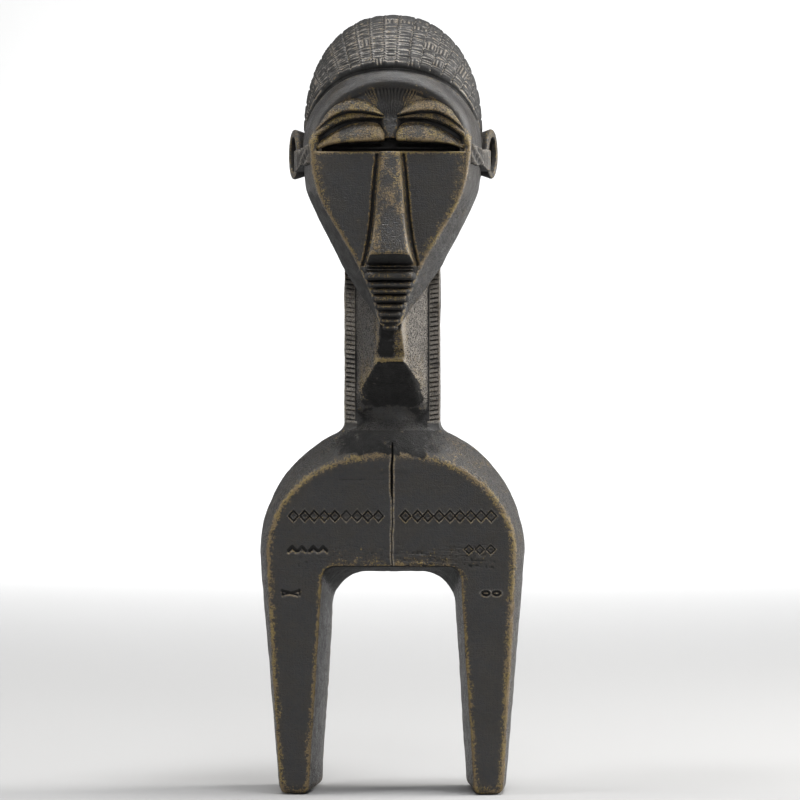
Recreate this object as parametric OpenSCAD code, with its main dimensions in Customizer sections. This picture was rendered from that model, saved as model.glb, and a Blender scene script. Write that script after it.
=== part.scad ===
// Carved yoke with a head: a forked wooden body under a long-necked head.
// Frame: +Z up, the face looks along -Y, +X is the viewer's right.
// The origin is the centre of the footprint on the floor. Millimetres.

/* [Fork] */
// Half the width of the fork at its shoulders
fork_half_w = 34.1; // [32:0.1:36]
// Depth of the fork from front to back
fork_depth = 27; // [24:0.5:30]
// Height of the centre of the shoulder curve
shoulder_z = 61.5; // [60:0.1:63]
// Height at which the legs meet the arch
leg_top = 48; // [44:1:50]
// Half the outer width at the soles
foot_half_w = 29.2; // [28:0.1:30]
// Half the gap between the legs at the soles, on the rear face
gap_foot_half_w = 18.9; // [18:0.1:20]
// Half the gap between the legs at the top of the legs, on the rear face
gap_top_half_w = 16; // [15:0.1:17]
// Height of the gap's crown
gap_crown_z = 56.6; // [55:0.1:58]
// How much the gap widens towards the front, each side
gap_draft = 2.3; // [1:0.1:3]
// Half the width of the fork's front face at its shoulders
front_half_w = 31.9; // [31:0.1:32]
// Rise of the front face's curve above the shoulder centre
front_rise = 25.8; // [25:0.1:26.5]
// Corner radius of the gap
gap_corner_r = 8; // [6:0.5:10]

/* [Neck] */
// Half the width of the neck with its combs
neck_half_w = 12.3; // [11.8:0.1:12.6]
// Width of each notched comb strip
comb_w = 3; // [2.6:0.1:3.4]
// Depth of the comb strips from front to back
comb_depth = 11; // [10:0.5:12]
// Radius of the neck's front and back curves
neck_curve_r = 12; // [11.5:0.1:13]
// Half the depth of the neck post
neck_half_d = 9.5; // [9:0.1:10]
// Height at which the neck stands on the shoulders
neck_base_z = 93; // [92:0.1:94]
// Height of one comb notch and its tooth
comb_pitch = 1.2; // [1.2:0.1:2]

/* [Head] */
// Overall height
total_h = 200; // [198:0.5:202]
// Half the width of the skull
skull_half_w = 22.7; // [22:0.1:23.5]
// Half the depth of the skull
skull_half_d = 25.5; // [25:0.1:26]
// Half the height of the skull
skull_half_h = 30; // [28:0.5:32]
// How far the skull's centre lies behind the axis of the neck
skull_back = 3.5; // [3:0.1:4]
// Front plane of the flat face
face_y = -22; // [-23:0.1:-21.5]
// Plane on which the carved face elements are seated
core_y = -17; // [-18:0.1:-16.5]
// Height of the tip of the chin
chin_z = 119; // [118:0.5:120]
// Height of the straight lower edge of the eye slit
slit_z = 163.8; // [163.4:0.1:164.6]
// How far the nose tip stands in front of the axis
nose_tip_y = -29; // [-29.5:0.1:-28]

/* [Ears] */
// Outer radius of an ear ring
ear_r = 6.7; // [6:0.1:7]
// Radius of the hollow in an ear ring
ear_hollow_r = 4.3; // [3.5:0.1:4.8]
// Thickness of an ear ring
ear_t = 3.4; // [3:0.1:4]
// Height of the ears' centres
ear_z = 164.3; // [163:0.1:166]

/* [Hidden] */

// Thickness of the slices that a hull is stretched between
slice = 0.02;
fork_y = fork_depth / 2;
// The fork's front edge is bevelled: the bevel's depth and its width at the leg top
bevel_d = 8.5;
bevel_top_w = 1.6;
bevel_foot_w = 0.6;
skull_z = total_h - skull_half_h;
// The hairline lies in a plane that falls from the brow to the nape
hair_slope = 40;
hair_z = 169.5;
comb_x = neck_half_w - comb_w;
// The brow field: its half width, and the rise of its arch over the springing line
field_half_w = 18.8;
field_rise = 16.6;
field_spring_z = slit_z + 2.2;
// The rounded rim round the brow field
rim_half_w = 20.9;
rim_rise = 20.2;
rim_spring_z = slit_z + 2.1;
// How far the eyelids reach from the middle, and the gap between them
lid_far_x = 18.3;
lid_near_x = 1.5;
// How far the brows reach from the middle, and the gap between them
brow_far_x = 17;
brow_near_x = 2;
// Any length that is longer than the object in the direction of a cut
beyond = 60;
patina = [0.24, 0.235, 0.23];
worn = [0.50, 0.42, 0.26];
dark = [0.13, 0.125, 0.12];

function mirrored(pts) = concat(pts, [for (i = [len(pts) - 1:-1:0]) [-pts[i][0], pts[i][1]]]);
function arc(a, b, zc, from, to, n) =
    [for (i = [0:n]) let (t = from + (to - from) * i / n) [a * cos(t), zc + b * sin(t)]];

// Outer half width of the legs at a height
function leg_outer(z) = foot_half_w + (fork_half_w - 0.7 - foot_half_w) * z / leg_top;

// Face outline from the chin up to the eye slit, as half width and height
face_outline = [
    [1.9, chin_z], [3.2, 122], [5.1, 128.7], [10.2, 138.8], [14, 145],
    [17.5, 151.4], [19.4, 157.6], [20.3, slit_z]
];
jaw_outline = [
    [12.4, 133], [14.6, 139], [17.8, 145.2], [20.7, 151.4], [22.1, 155], [skull_half_w, slit_z]
];

// Lays an outline drawn in X and Z into the plane y, thickened backwards by t
module upright(y, t) {
    translate([0, y + t, 0])
        rotate([90, 0, 0])
            linear_extrude(height = t)
                children();
}

// Everything above and behind the hairline
module behind_hairline() {
    translate([0, 0, hair_z])
        rotate([-hair_slope, 0, 0])
            translate([-beyond, -beyond, 0])
                cube(2 * beyond);
}

module arch_outline(half_w, rise, base_w) {
    polygon(mirrored(concat([[base_w, leg_top]], arc(half_w, rise, shoulder_z, 0, 90, 24))));
}

module gap_outline(widen) {
    top_w = gap_top_half_w + widen;
    polygon(mirrored(concat(
        [[top_w + 0.3, leg_top - 8], [top_w, leg_top]],
        [for (p = arc(gap_corner_r, gap_corner_r, 0, 0, 90, 8))
            [p[0] + top_w - gap_corner_r, p[1] + gap_crown_z + widen / 2 - gap_corner_r]]
    )));
}

module shoulder_arch() {
    crack_w = 1;
    crack_d = 5;
    crack_foot_z = shoulder_z + 0.5;
    // The rear edge is narrower than the broadest outline by this much
    rear_inset = 0.7;
    color(patina)
        difference() {
            hull() {
                upright(-fork_y, slice)
                    arch_outline(front_half_w, front_rise, leg_outer(leg_top) - bevel_top_w);
                upright(bevel_d - fork_y, fork_depth - 2 * bevel_d)
                    arch_outline(fork_half_w, fork_half_w, leg_outer(leg_top));
                upright(fork_y - slice, slice)
                    arch_outline(fork_half_w - rear_inset, front_rise, leg_outer(leg_top));
            }
            hull() {
                upright(-fork_y - 1, slice)
                    gap_outline(gap_draft);
                upright(fork_y + 1, slice)
                    gap_outline(0);
            }
            translate([-beyond, -beyond, 0])
                cube([2 * beyond, 2 * beyond, leg_top]);
            translate([-beyond, -beyond, neck_base_z])
                cube(2 * beyond);
            // Drying crack down the middle of the front face
            translate([-crack_w / 2, -fork_y - 1, crack_foot_z])
                cube([crack_w, crack_d + 1, beyond]);
        }
}

// Right-hand leg, with a bevelled front edge and a gap side that widens to the front
module leg() {
    outer_tilt = atan((leg_outer(leg_top) - foot_half_w) / leg_top);
    inner_tilt = atan((gap_foot_half_w - gap_top_half_w) / leg_top);
    bevel_turn = atan(((bevel_foot_w + bevel_top_w) / 2) / bevel_d);
    draft_turn = atan(gap_draft / fork_depth);
    difference() {
        upright(-fork_y, fork_depth)
            polygon([
                [gap_foot_half_w, 0], [foot_half_w, 0],
                [leg_outer(leg_top), leg_top], [gap_top_half_w, leg_top]
            ]);
        // Bevel along the outer front edge
        translate([foot_half_w, bevel_d - fork_y, 0])
            rotate([0, outer_tilt, 0])
                rotate([0, 0, -bevel_turn])
                    translate([0, -30, -20])
                        cube([20, 30, 100]);
        // Draft of the gap side
        translate([gap_foot_half_w, fork_y, 0])
            rotate([0, -inner_tilt, 0])
                rotate([0, 0, draft_turn])
                    translate([-20, -40, -20])
                        cube([20, 40, 100]);
    }
}

module left_leg() {
    color(patina)
        mirror([1, 0, 0])
            leg();
}

module right_leg() {
    color(patina)
        leg();
}

// The head as one mass, which the head's nodes are cut from
module head_mass() {
    // Half the depth over which the jaw keeps its full width
    jaw_half_d = 6;
    // How much wider the head is than the face just behind it, each side
    face_flare = 0.6;
    hull() {
        translate([0, skull_back, skull_z])
            scale([skull_half_w, skull_half_d, skull_half_h])
                sphere(r = 1, $fn = 64);
        upright(-jaw_half_d, 2 * jaw_half_d)
            polygon(mirrored(jaw_outline));
        upright(core_y, slice)
            polygon(mirrored(concat(
                [for (p = face_outline) [p[0] + face_flare, p[1]]],
                arc(rim_half_w, rim_rise, rim_spring_z, 3, 90, 16)
            )));
    }
}

module neck_post() {
    // Inside the head, which is cut away from the post
    neck_top = 150;
    color(patina)
        difference() {
            translate([0, 0, neck_base_z])
                linear_extrude(height = neck_top - neck_base_z)
                    intersection() {
                        translate([0, neck_curve_r - neck_half_d])
                            circle(r = neck_curve_r, $fn = 64);
                        translate([0, neck_half_d - neck_curve_r])
                            circle(r = neck_curve_r, $fn = 64);
                        square([2 * comb_x, beyond], center = true);
                    }
            head_mass();
        }
}

// Right-hand notched strip
module neck_comb() {
    notch_d = 0.6;
    notch_share = 0.45;
    // Plain margins beside the notches, on the inner and the outer side
    margin_in = 0.2;
    margin_out = 0.8;
    first_z = neck_base_z + 2;
    last_z = 130;
    comb_top = 145;
    difference() {
        translate([comb_x, -comb_depth / 2, neck_base_z])
            cube([comb_w, comb_depth, comb_top - neck_base_z]);
        for (z = [first_z:comb_pitch:last_z])
            translate([comb_x + margin_in, -comb_depth / 2 - 1, z])
                cube([comb_w - margin_in - margin_out, notch_d + 1, comb_pitch * notch_share]);
        head_mass();
    }
}

module left_neck_comb() {
    color(worn)
        mirror([1, 0, 0])
            neck_comb();
}

module right_neck_comb() {
    color(worn)
        neck_comb();
}

module chin_strut() {
    // Front edge of the prow
    prow_half = 3.7;
    prow_y = -16.5;
    prow_z = 110.2;
    // Top, under the chin
    top_half = 3;
    top_z = chin_z + 5;
    // Foot, where the prow runs back into the post
    foot_half = prow_half + 2;
    foot_z = 102;
    color(worn)
        difference() {
            hull() {
                translate([-prow_half, prow_y, prow_z])
                    cube([2 * prow_half, 12, 0.8]);
                translate([-top_half, core_y + 0.4, top_z])
                    cube([2 * top_half, 12, 1]);
                translate([-foot_half, -neck_half_d + 0.4, foot_z])
                    cube([2 * foot_half, 5, 0.8]);
            }
            linear_extrude(height = total_h)
                translate([0, neck_curve_r - neck_half_d])
                    circle(r = neck_curve_r, $fn = 64);
            head_mass();
        }
}

module head_core() {
    color(patina)
        difference() {
            head_mass();
            behind_hairline();
        }
}

module face_plate() {
    color(patina)
        upright(face_y, core_y - face_y)
            polygon(mirrored(face_outline));
}

// One cross-section of the nose: half width, stand from the face, height
module nose_slice(half, stand, z) {
    translate([-half, face_y - stand, z - slice])
        cube([2 * half, stand, slice]);
}

module nose() {
    tip_z = 136.1;
    tip_half = 5.9;
    color(worn)
        hull() {
            nose_slice(3.1, 2.6, slit_z - 0.5);
            nose_slice(3.9, 4, 156);
            // Broad blunt tip
            translate([-tip_half, nose_tip_y, tip_z])
                cube([2 * tip_half, slice, 1]);
            nose_slice(6.7, slice, tip_z - 1);
        }
}

module lips() {
    color(patina) {
        // Each bar: lower edge, height, half width, stand from the face
        for (bar = [[133.2, 1.7, 6.2, 1.4], [131.1, 2, 6.5, 2.8], [129.3, 1.4, 5.8, 2.2]])
            translate([-bar[2], face_y - bar[3], bar[0]])
                cube([2 * bar[2], bar[3], bar[1]]);
    }
}

module beard_ridges() {
    count = 5;
    top_z = 129;
    pitch = 2.05;
    ridge_h = 1.3;
    // How far the top ridge stands out, and how much less each next one does
    stand = 2;
    stand_drop = 0.15;
    color(worn)
        intersection() {
            for (i = [0:count - 1])
                translate([-beyond, face_y - stand + stand_drop * i, top_z - ridge_h - pitch * i])
                    cube([2 * beyond, stand - stand_drop * i, ridge_h]);
            upright(face_y - stand - 1, stand + 2)
                polygon(mirrored(face_outline));
        }
}

// Heights of the eyelid's edges and of the brow's middle line at a distance from the middle
lid_top_z = slit_z + 7;
lid_foot_z = slit_z + 2.4;
brow_z = slit_z + 8.6;
function lid_top(x) = lid_top_z - 6.2 * pow(max(0, x - 4) / 14.4, 1.8);
function lid_foot(x) = lid_foot_z - 2.2 * pow(x / field_half_w, 2);
function brow_mid(x) = brow_z + 1.8 * sin(180 * min(1, x / 14)) - 5.6 * pow(max(0, x - 6) / 13, 2);

module forehead() {
    steps = 12;
    sunk = 2;
    color(patina)
        upright(face_y + sunk, core_y - face_y - sunk)
            polygon(mirrored(concat(
                [for (i = [0:steps]) let (x = (field_half_w - 0.2) * i / steps) [x, lid_foot(x)]],
                arc(field_half_w, field_rise, field_spring_z, 5, 90, 16)
            )));
}

module forehead_band() {
    back_from_face = 2.6;
    inner_half = field_half_w - 0.2;
    color(patina)
        upright(face_y + back_from_face, core_y - face_y - back_from_face)
            difference() {
                polygon(mirrored(arc(rim_half_w, rim_rise, rim_spring_z, -6, 90, 24)));
                polygon(mirrored(concat(
                    [[inner_half, slit_z - 15], [inner_half, lid_foot(inner_half)]],
                    arc(field_half_w, field_rise, field_spring_z, 5, 90, 16)
                )));
                polygon(mirrored(face_outline));
            }
}

// Right-hand eyelid
module eyelid() {
    steps = 14;
    thick = 2;
    least_h = 0.3;
    run = lid_far_x - lid_near_x;
    upright(face_y, thick)
        polygon(concat(
            [for (i = [0:steps]) let (x = lid_near_x + run * i / steps) [x, lid_foot(x)]],
            [for (i = [steps:-1:0]) let (x = lid_near_x + run * i / steps)
                [x, max(lid_top(x), lid_foot(x) + least_h)]]
        ));
}

module left_eyelid() {
    color(worn)
        mirror([1, 0, 0])
            eyelid();
}

module right_eyelid() {
    color(worn)
        eyelid();
}

// Right-hand pair of arched brow ridges
module brow() {
    steps = 16;
    back_from_face = 0.3;
    thick = 1.7;
    drop = 0.9;
    run = brow_far_x - brow_near_x;
    // Each ridge: how far above the lower one it starts, and its height
    for (ridge = [[0, 1], [1.9, 2.6]])
        upright(face_y + back_from_face, thick)
            polygon(concat(
                [for (i = [0:steps]) let (x = brow_near_x + run * i / steps)
                    [x, brow_mid(x) - drop + ridge[0]]],
                [for (i = [steps:-1:0]) let (x = brow_near_x + run * i / steps)
                    [x, brow_mid(x) - drop + ridge[0] + ridge[1] * (1 - pow(x / (brow_far_x + 0.6), 2))]]
            ));
}

module left_brow() {
    color(worn)
        mirror([1, 0, 0])
            brow();
}

module right_brow() {
    color(worn)
        brow();
}

module coiffure() {
    color(dark)
        intersection() {
            head_mass();
            behind_hairline();
        }
}

// Right-hand ear: a hollowed ring that faces outwards and a little forwards
module ear() {
    turn = 30;
    floor_t = 1.3;
    // How far the ring's centre lies behind the axis of the neck
    ear_back = 1.5;
    difference() {
        translate([skull_half_w - 0.1, ear_back, ear_z])
            rotate([0, 0, -turn])
                rotate([0, 90, 0])
                    difference() {
                        cylinder(r = ear_r, h = ear_t, center = true, $fn = 48);
                        translate([0, 0, floor_t - ear_t / 2])
                            cylinder(r = ear_hollow_r, h = ear_t, $fn = 48);
                    }
        head_mass();
    }
}

module left_ear() {
    color(patina)
        mirror([1, 0, 0])
            ear();
}

module right_ear() {
    color(patina)
        ear();
}

shoulder_arch();
left_leg();
right_leg();
neck_post();
left_neck_comb();
right_neck_comb();
chin_strut();
head_core();
face_plate();
nose();
lips();
beard_ridges();
forehead();
forehead_band();
left_eyelid();
right_eyelid();
left_brow();
right_brow();
coiffure();
left_ear();
right_ear();
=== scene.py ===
import math

import bmesh
import bpy
import numpy as np
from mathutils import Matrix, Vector


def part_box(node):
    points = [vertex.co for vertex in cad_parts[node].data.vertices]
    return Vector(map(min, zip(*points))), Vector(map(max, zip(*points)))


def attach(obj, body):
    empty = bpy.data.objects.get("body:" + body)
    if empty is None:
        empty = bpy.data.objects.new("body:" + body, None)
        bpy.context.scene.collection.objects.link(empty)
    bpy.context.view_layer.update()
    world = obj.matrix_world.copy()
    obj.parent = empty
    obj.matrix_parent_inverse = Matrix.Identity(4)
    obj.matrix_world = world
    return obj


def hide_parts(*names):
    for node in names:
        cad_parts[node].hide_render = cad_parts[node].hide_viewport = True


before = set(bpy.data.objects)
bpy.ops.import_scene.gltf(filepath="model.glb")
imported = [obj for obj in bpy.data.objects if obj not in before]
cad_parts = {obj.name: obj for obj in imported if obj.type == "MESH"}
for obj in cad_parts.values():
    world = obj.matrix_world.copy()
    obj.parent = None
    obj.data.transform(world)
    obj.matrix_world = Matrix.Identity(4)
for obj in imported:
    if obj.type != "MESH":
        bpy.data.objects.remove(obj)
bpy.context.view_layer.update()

# Carved yoke with a head. Shapes are worked out in millimetres in the CAD frame
# (+Z up, the face looks along -Y, +X is the viewer's right) and stored in metres.
MM = 0.001


def box_mm(node):
    lo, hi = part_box(node)
    return np.array(lo) / MM, np.array(hi) / MM


ARCH_LO, ARCH_HI = box_mm("shoulder_arch")
LEG_TOP = box_mm("right_leg")[1][2]
COMB_LO, COMB_HI = box_mm("right_neck_comb")
HAIR_HI = box_mm("coiffure")[1]
PLATE_LO, PLATE_HI = box_mm("face_plate")

# --- Fork ---
FORK_FRONT = ARCH_LO[1]
FORK_BACK = ARCH_HI[1]
FORK_DEPTH = FORK_BACK - FORK_FRONT
SHOULDER_R = ARCH_HI[0]
SHOULDER_Z = 61.5            # the arch's centre, and the top of the tapering legs
LEG_TAPER = 0.083            # how fast the legs narrow towards the soles
FRONT_INSET_SIDE = 2.3       # front edge inside the broadest outline, at the shoulders
FRONT_INSET_TOP = 8.3        # the same, at the top of the arch
FRONT_INSET_FOOT = 0.6       # the same, at the soles
BEVEL_DEPTH = 10.0
GAP_HALF_FOOT = 18.9         # the gap's half width at the back, at the soles
GAP_HALF_TOP = 16.0          # the same, above GAP_STRAIGHT_Z
GAP_STRAIGHT_Z = 46.0
GAP_CROWN_Z = 55.9
GAP_DRAFT = 2.3              # how much wider the gap is at the front
GAP_CROWN_DRAFT = 2.2        # how much higher it is there
GAP_R_BACK = 8.5             # radius of its upper corners
GAP_R_FRONT = 3.2
FRONT_HALF_Y = -6.0          # the signs are cut in front of this

# --- Neck ---
NECK_BASE_Z = COMB_LO[2]
NECK_HALF = COMB_HI[0]
COMB_DEPTH_HALF = COMB_HI[1]
POST_HALF = COMB_LO[0] + 0.2
PROW_HALF = 3.7              # half width of the neck's narrow front, at PROW_Y
PROW_Y = -16.5
PROW_FLARE = 0.505           # how fast it widens towards the back
NECK_BACK_R = 12.0
NECK_BACK_Y = 9.5
# Front of the neck from the shoulders to the chin, as height and depth
NECK_FRONT = [
    (86.0, -13.0), (91.0, -12.2), (92.6, -10.8), (94.3, -8.6), (96.5, -7.2), (99.5, -7.0),
    (102.6, -9.0), (106.4, -12.7), (109.3, -15.9), (110.2, -17.2), (110.9, -17.4), (111.9, -16.9),
    (114.0, -17.4), (120.0, -18.9), (142.0, -20.0),
]
COMB_PITCH = 1.2
COMB_FIRST_Z = 95.2

# --- Head ---
FACE_Y = PLATE_LO[1]
CORE_Y = PLATE_HI[1]
SLIT_Z = PLATE_HI[2]
CHIN_Z = PLATE_LO[2]
HEAD_TOP = HAIR_HI[2]
SKULL_HALF_W = HAIR_HI[0]
SKULL_C = np.array([0.0, 3.5, 170.0])
SKULL_R = np.array([SKULL_HALF_W, HAIR_HI[1] - 3.5, HEAD_TOP - 170.0])
SKULL_POWER = 2.2
SKULL_MEAN_R = 24.0
UNDER_JAW_Z = 133.3
SIDE_DEPTH = 16.0            # depth over which the face's sides spread to full width
# Half width of the flat face from the chin up to the eye slit
FACE_HALF = [
    (116.5, 0.6), (118.9, 1.9), (122.0, 3.2), (125.3, 3.9), (128.7, 5.1), (132.2, 6.7), (138.8, 10.2),
    (145.0, 13.9), (151.4, 17.5), (157.6, 19.4), (165.0, 20.3),
]
# Half width of the head's broadest outline, below the skull's middle
HEAD_HALF = [
    (115.0, 3.0), (121.0, 6.0), (127.0, 9.0), (133.0, 11.8), (139.0, 14.6), (145.2, 17.8),
    (151.4, 20.7), (154.5, 22.0), (158.0, 22.6), (163.0, 22.8), (170.0, 22.7),
]
BROW_CENTRE_Z = 165.0        # middle of the ellipses over the eyes
BROW_HALF_W = 20.3           # the flat front's edge
BROW_RISE = 19.4
RIM_INNER_W = 18.9           # the sunken brow field's edge
RIM_INNER_RISE = 15.6
RIM_HALF_W = 22.8            # the head's outline
RIM_RISE = 19.9
UNDER_CHIN_SLOPE = 1.05
HAIR_PLANE_TILT = math.radians(40.0)
HAIR_PLANE_Z = 169.5         # where the hairline's plane crosses the middle of the head
STRUT_BACK = -11.0           # depth where the chin's strut meets the post
STRUT_LOW_Z = 98.0
STRUT_HIGH_Z = 131.0
POST_HIGH_Z = 140.5          # the post and the combs run on into the head
COMB_HIGH_Z = 139.5


# --- Small maths ---
def curve(t, knots):
    """Smooth line through (t, value) knots."""
    ts = np.array([k[0] for k in knots], float)
    vs = np.array([k[1] for k in knots], float)
    slopes = np.gradient(vs, ts)
    t = np.clip(t, ts[0], ts[-1])
    i = np.clip(np.searchsorted(ts, t) - 1, 0, len(ts) - 2)
    span = ts[i + 1] - ts[i]
    u = (t - ts[i]) / span
    a = 2 * u**3 - 3 * u**2 + 1
    b = u**3 - 2 * u**2 + u
    return a * vs[i] + b * span * slopes[i] + (1 - a) * vs[i + 1] + (u**3 - u**2) * span * slopes[i + 1]


def smax(a, b, k):
    """Larger of a and b, with a blend of width k."""
    h = np.maximum(k - abs(a - b), 0.0) / k
    return np.maximum(a, b) + h * h * k * 0.25


def smin(a, b, k):
    return -smax(-a, -b, k)


def unit(t):
    return np.clip(t, 0, 1)


def step(lo, hi, t):
    """Smooth rise from 0 at lo to 1 at hi; a fall where hi is the smaller."""
    u = unit((t - lo) / (hi - lo))
    return u * u * (3 - 2 * u)


def bump(t, width):
    """Soft bell, 1 where t is 0."""
    return np.exp(-(t / width) ** 2)


CORNERS = [(i, j, k) for i in (0, 1) for j in (0, 1) for k in (0, 1)]


def lattice(ix, iy, iz, seed):
    """Repeatable number from 0 to 1 at each lattice point."""
    n = (ix * 374761393 + iy * 668265263 + iz * 1274126177 + seed * 144269) & 0xFFFFFFFF
    n = ((n ^ (n >> 13)) * 1103515245) & 0xFFFFFFFF
    n = ((n ^ (n >> 15)) * 2246822519) & 0xFFFFFFFF
    return ((n ^ (n >> 16)) & 0xFFFFFF) / float(0xFFFFFF)


def noise(p, size, seed=0):
    """Smooth value noise from -1 to 1 at points p, with features of the given size."""
    q = np.asarray(p, float) / size
    base = np.floor(q).astype(np.int64)
    f = q - base
    f = f * f * (3 - 2 * f)
    total = 0.0
    for corner in CORNERS:
        w = np.where(corner, f, 1 - f)
        total = total + w[:, 0] * w[:, 1] * w[:, 2] * lattice(*(base + corner).T, seed)
    return 2 * total - 1


# --- Surfaces from fields ---
def mirrored(side, field, lo, hi):
    """A right-hand field and its box, or their mirror image where side is -1."""
    box = (lo, hi) if side > 0 else ((-hi[0], *lo[1:]), (-lo[0], *hi[1:]))
    return (lambda x, y, z: field(x * side, y, z)), *box


CELL_EDGES = [(a, b) for a in range(8) for b in range(a + 1, 8)
              if sum(abs(CORNERS[a][n] - CORNERS[b][n]) for n in range(3)) == 1]


def surface(field, lo, hi, cell):
    """Closed quad mesh of the surface where field is zero, found with one vertex a cell."""
    lo = np.array(lo, float)
    count = np.ceil((np.array(hi, float) - lo) / cell).astype(int) + 1
    axes = [lo[n] + cell * np.arange(count[n]) for n in range(3)]
    grid = field(axes[0][:, None, None], axes[1][None, :, None], axes[2][None, None, :])
    grid = np.broadcast_to(grid, count).astype(np.float32)
    inside = grid < 0
    total = sum(inside[i:count[0] - 1 + i, j:count[1] - 1 + j, k:count[2] - 1 + k].astype(np.int8)
                for i, j, k in CORNERS)
    cells = np.argwhere((total > 0) & (total < 8))
    index = np.full(count - 1, -1, np.int64)
    index[tuple(cells.T)] = np.arange(len(cells))
    faces = np.concatenate([quads_across(n, inside, index) for n in range(3)])
    return settle(lo + cell * (cells + crossing(grid, cells)), field, cell), faces


def crossing(grid, cells):
    """Mean place, within each cell, where its edges cross the surface."""
    value = [grid[tuple((cells + corner).T)] for corner in CORNERS]
    place = np.zeros((len(cells), 3))
    hits = np.zeros(len(cells))
    for a, b in CELL_EDGES:
        cross = (value[a] < 0) != (value[b] < 0)
        t = np.where(cross, value[a] / np.where(cross, value[a] - value[b], 1), 0)
        for n in range(3):
            place[:, n] += cross * (CORNERS[a][n] + t * (CORNERS[b][n] - CORNERS[a][n]))
        hits += cross
    return place / hits[:, None]


def quads_across(n, inside, index):
    """Quads round the grid's edges along axis n where they cross the surface."""
    o, p = (n + 1) % 3, (n + 2) % 3
    first = np.take(inside, range(inside.shape[n] - 1), axis=n)
    second = np.take(inside, range(1, inside.shape[n]), axis=n)
    where = np.argwhere(first != second)
    across = where[:, [o, p]]
    last = np.array([inside.shape[o], inside.shape[p]]) - 1
    where = where[((across > 0) & (across < last)).all(axis=1)]
    leaving = first[tuple(where.T)]
    ring = []
    for do, dp in ((1, 1), (0, 1), (0, 0), (1, 0)):
        at = where.copy()
        at[:, o] -= do
        at[:, p] -= dp
        ring.append(index[tuple(at.T)])
    ring = np.stack(ring, axis=1)
    ring[~leaving] = ring[~leaving][:, ::-1]
    return ring


def settle(verts, field, cell):
    """Move the vertices onto the field's zero surface."""
    h = cell * 0.15
    for _ in range(3):
        f = field(*verts.T)
        rises = [field(*(verts + d).T) - field(*(verts - d).T) for d in h * np.eye(3)]
        g = np.stack(rises, axis=1) / (2 * h)
        move = -(f / np.maximum((g * g).sum(1), 0.05))[:, None] * g
        far = np.linalg.norm(move, axis=1, keepdims=True)
        verts = verts + move * np.minimum(1, 0.5 * cell / np.maximum(far, 1e-9))
    return verts


def edges_of(faces):
    """Each edge once, as the numbers of its two ends."""
    pairs = np.concatenate([faces[:, [i, (i + 1) % 4]] for i in range(4)])
    pairs = np.sort(pairs, axis=1)
    pairs = pairs[pairs[:, 0] != pairs[:, 1]]
    many = pairs.max() + 1
    return np.divmod(np.unique(pairs[:, 0] * many + pairs[:, 1]), many)


def normals_of(verts, faces):
    a, b, c, d = (verts[faces[:, n]] for n in range(4))
    face_n = np.cross(c - a, d - b)
    out = np.stack([sum(np.bincount(faces[:, n], face_n[:, m], len(verts)) for n in range(4))
                    for m in range(3)], axis=1)
    return out / np.maximum(np.linalg.norm(out, axis=1, keepdims=True), 1e-12)


def bulge(verts, faces, normals, rounds):
    """How far each vertex stands proud of its surroundings: positive on edges, negative in grooves."""
    a, b = edges_of(faces)
    count = len(verts)
    degree = np.maximum(np.bincount(np.append(a, b), minlength=count), 1)
    soft = verts.copy()
    for _ in range(rounds):
        soft = np.stack([(np.bincount(a, soft[b, m], count) + np.bincount(b, soft[a, m], count)) / degree
                         for m in range(3)], axis=1)
    return ((verts - soft) * normals).sum(1)


class Shape:
    """A closed quad mesh in millimetres with named numbers at its vertices."""

    def __init__(self, verts, faces):
        self.verts = verts
        self.faces = faces
        self.marks = {}

    def push(self, amount):
        """Move the surface outwards by an amount worked out from place and normal."""
        n = self.normals()
        self.verts = self.verts + n * amount(self.verts, n)[:, None]

    def normals(self):
        return normals_of(self.verts, self.faces)

    def add(self, **amounts):
        """Add to the numbers kept at the vertices."""
        for mark, amount in amounts.items():
            self.marks[mark] = self.marks.get(mark, 0) + amount

    def weather(self, cell, marks=None):
        """Store how proud and how sunken each vertex is, for the materials."""
        n = self.normals()
        fine = bulge(self.verts, self.faces, n, max(2, round(0.25 / cell**2)))
        broad = bulge(self.verts, self.faces, n, max(6, round(2.2 / cell**2)))
        self.marks["proud"] = unit(fine / 0.10) * 0.6 + unit(broad / 0.35) * 0.7
        self.marks["sunk"] = unit(-fine / 0.10) * 0.5 + unit(-broad / 0.45) * 0.8
        for name, values in (marks or {}).items():
            self.marks[name] = values(self.verts, n)


# Of these marks, the sunken one holds the dark crust of hollows and also painted shade under things, in
# recesses and on the jaw's left side.
MARKS = ("proud", "sunk", "pebble", "rub", "pale")


def to_mesh(name, shape):
    mesh = bpy.data.meshes.new(name)
    faces = [f[:3] if f[2] == f[3] else f for f in shape.faces.tolist()]
    mesh.from_pydata((shape.verts * MM).tolist(), [], faces)
    for mark in MARKS:
        values = shape.marks.get(mark, np.zeros(len(shape.verts)))
        mesh.attributes.new(mark, "FLOAT", "POINT").data.foreach_set("value", values.astype(np.float32))
    mesh.polygons.foreach_set("use_smooth", [True] * len(mesh.polygons))
    mesh.update()
    return mesh


def cut(mesh, name, planes):
    """Copy of a mesh kept on the inner side of each (point, normal) plane, with flat caps."""
    bm = bmesh.new()
    bm.from_mesh(mesh)
    for point, normal in planes:
        geom = bm.verts[:] + bm.edges[:] + bm.faces[:]
        done = bmesh.ops.bisect_plane(bm, geom=geom, dist=1e-7, plane_co=Vector(point) * MM,
                                      plane_no=Vector(normal), clear_outer=True)
        rim = [e for e in done["geom_cut"] if isinstance(e, bmesh.types.BMEdge) and e.is_boundary]
        cap(bm, rim, normal=Vector(normal))
    return finished(bm, bpy.data.meshes.new(name))


def cap(bm, rim, **way):
    """Flat faces over an open rim, with a crisp edge."""
    caps = bmesh.ops.triangle_fill(bm, use_beauty=True, edges=rim, **way)
    for face in caps["geom"]:
        if isinstance(face, bmesh.types.BMFace):
            face.smooth = False
    for edge in rim:
        if edge.is_valid:
            edge.smooth = False


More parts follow.
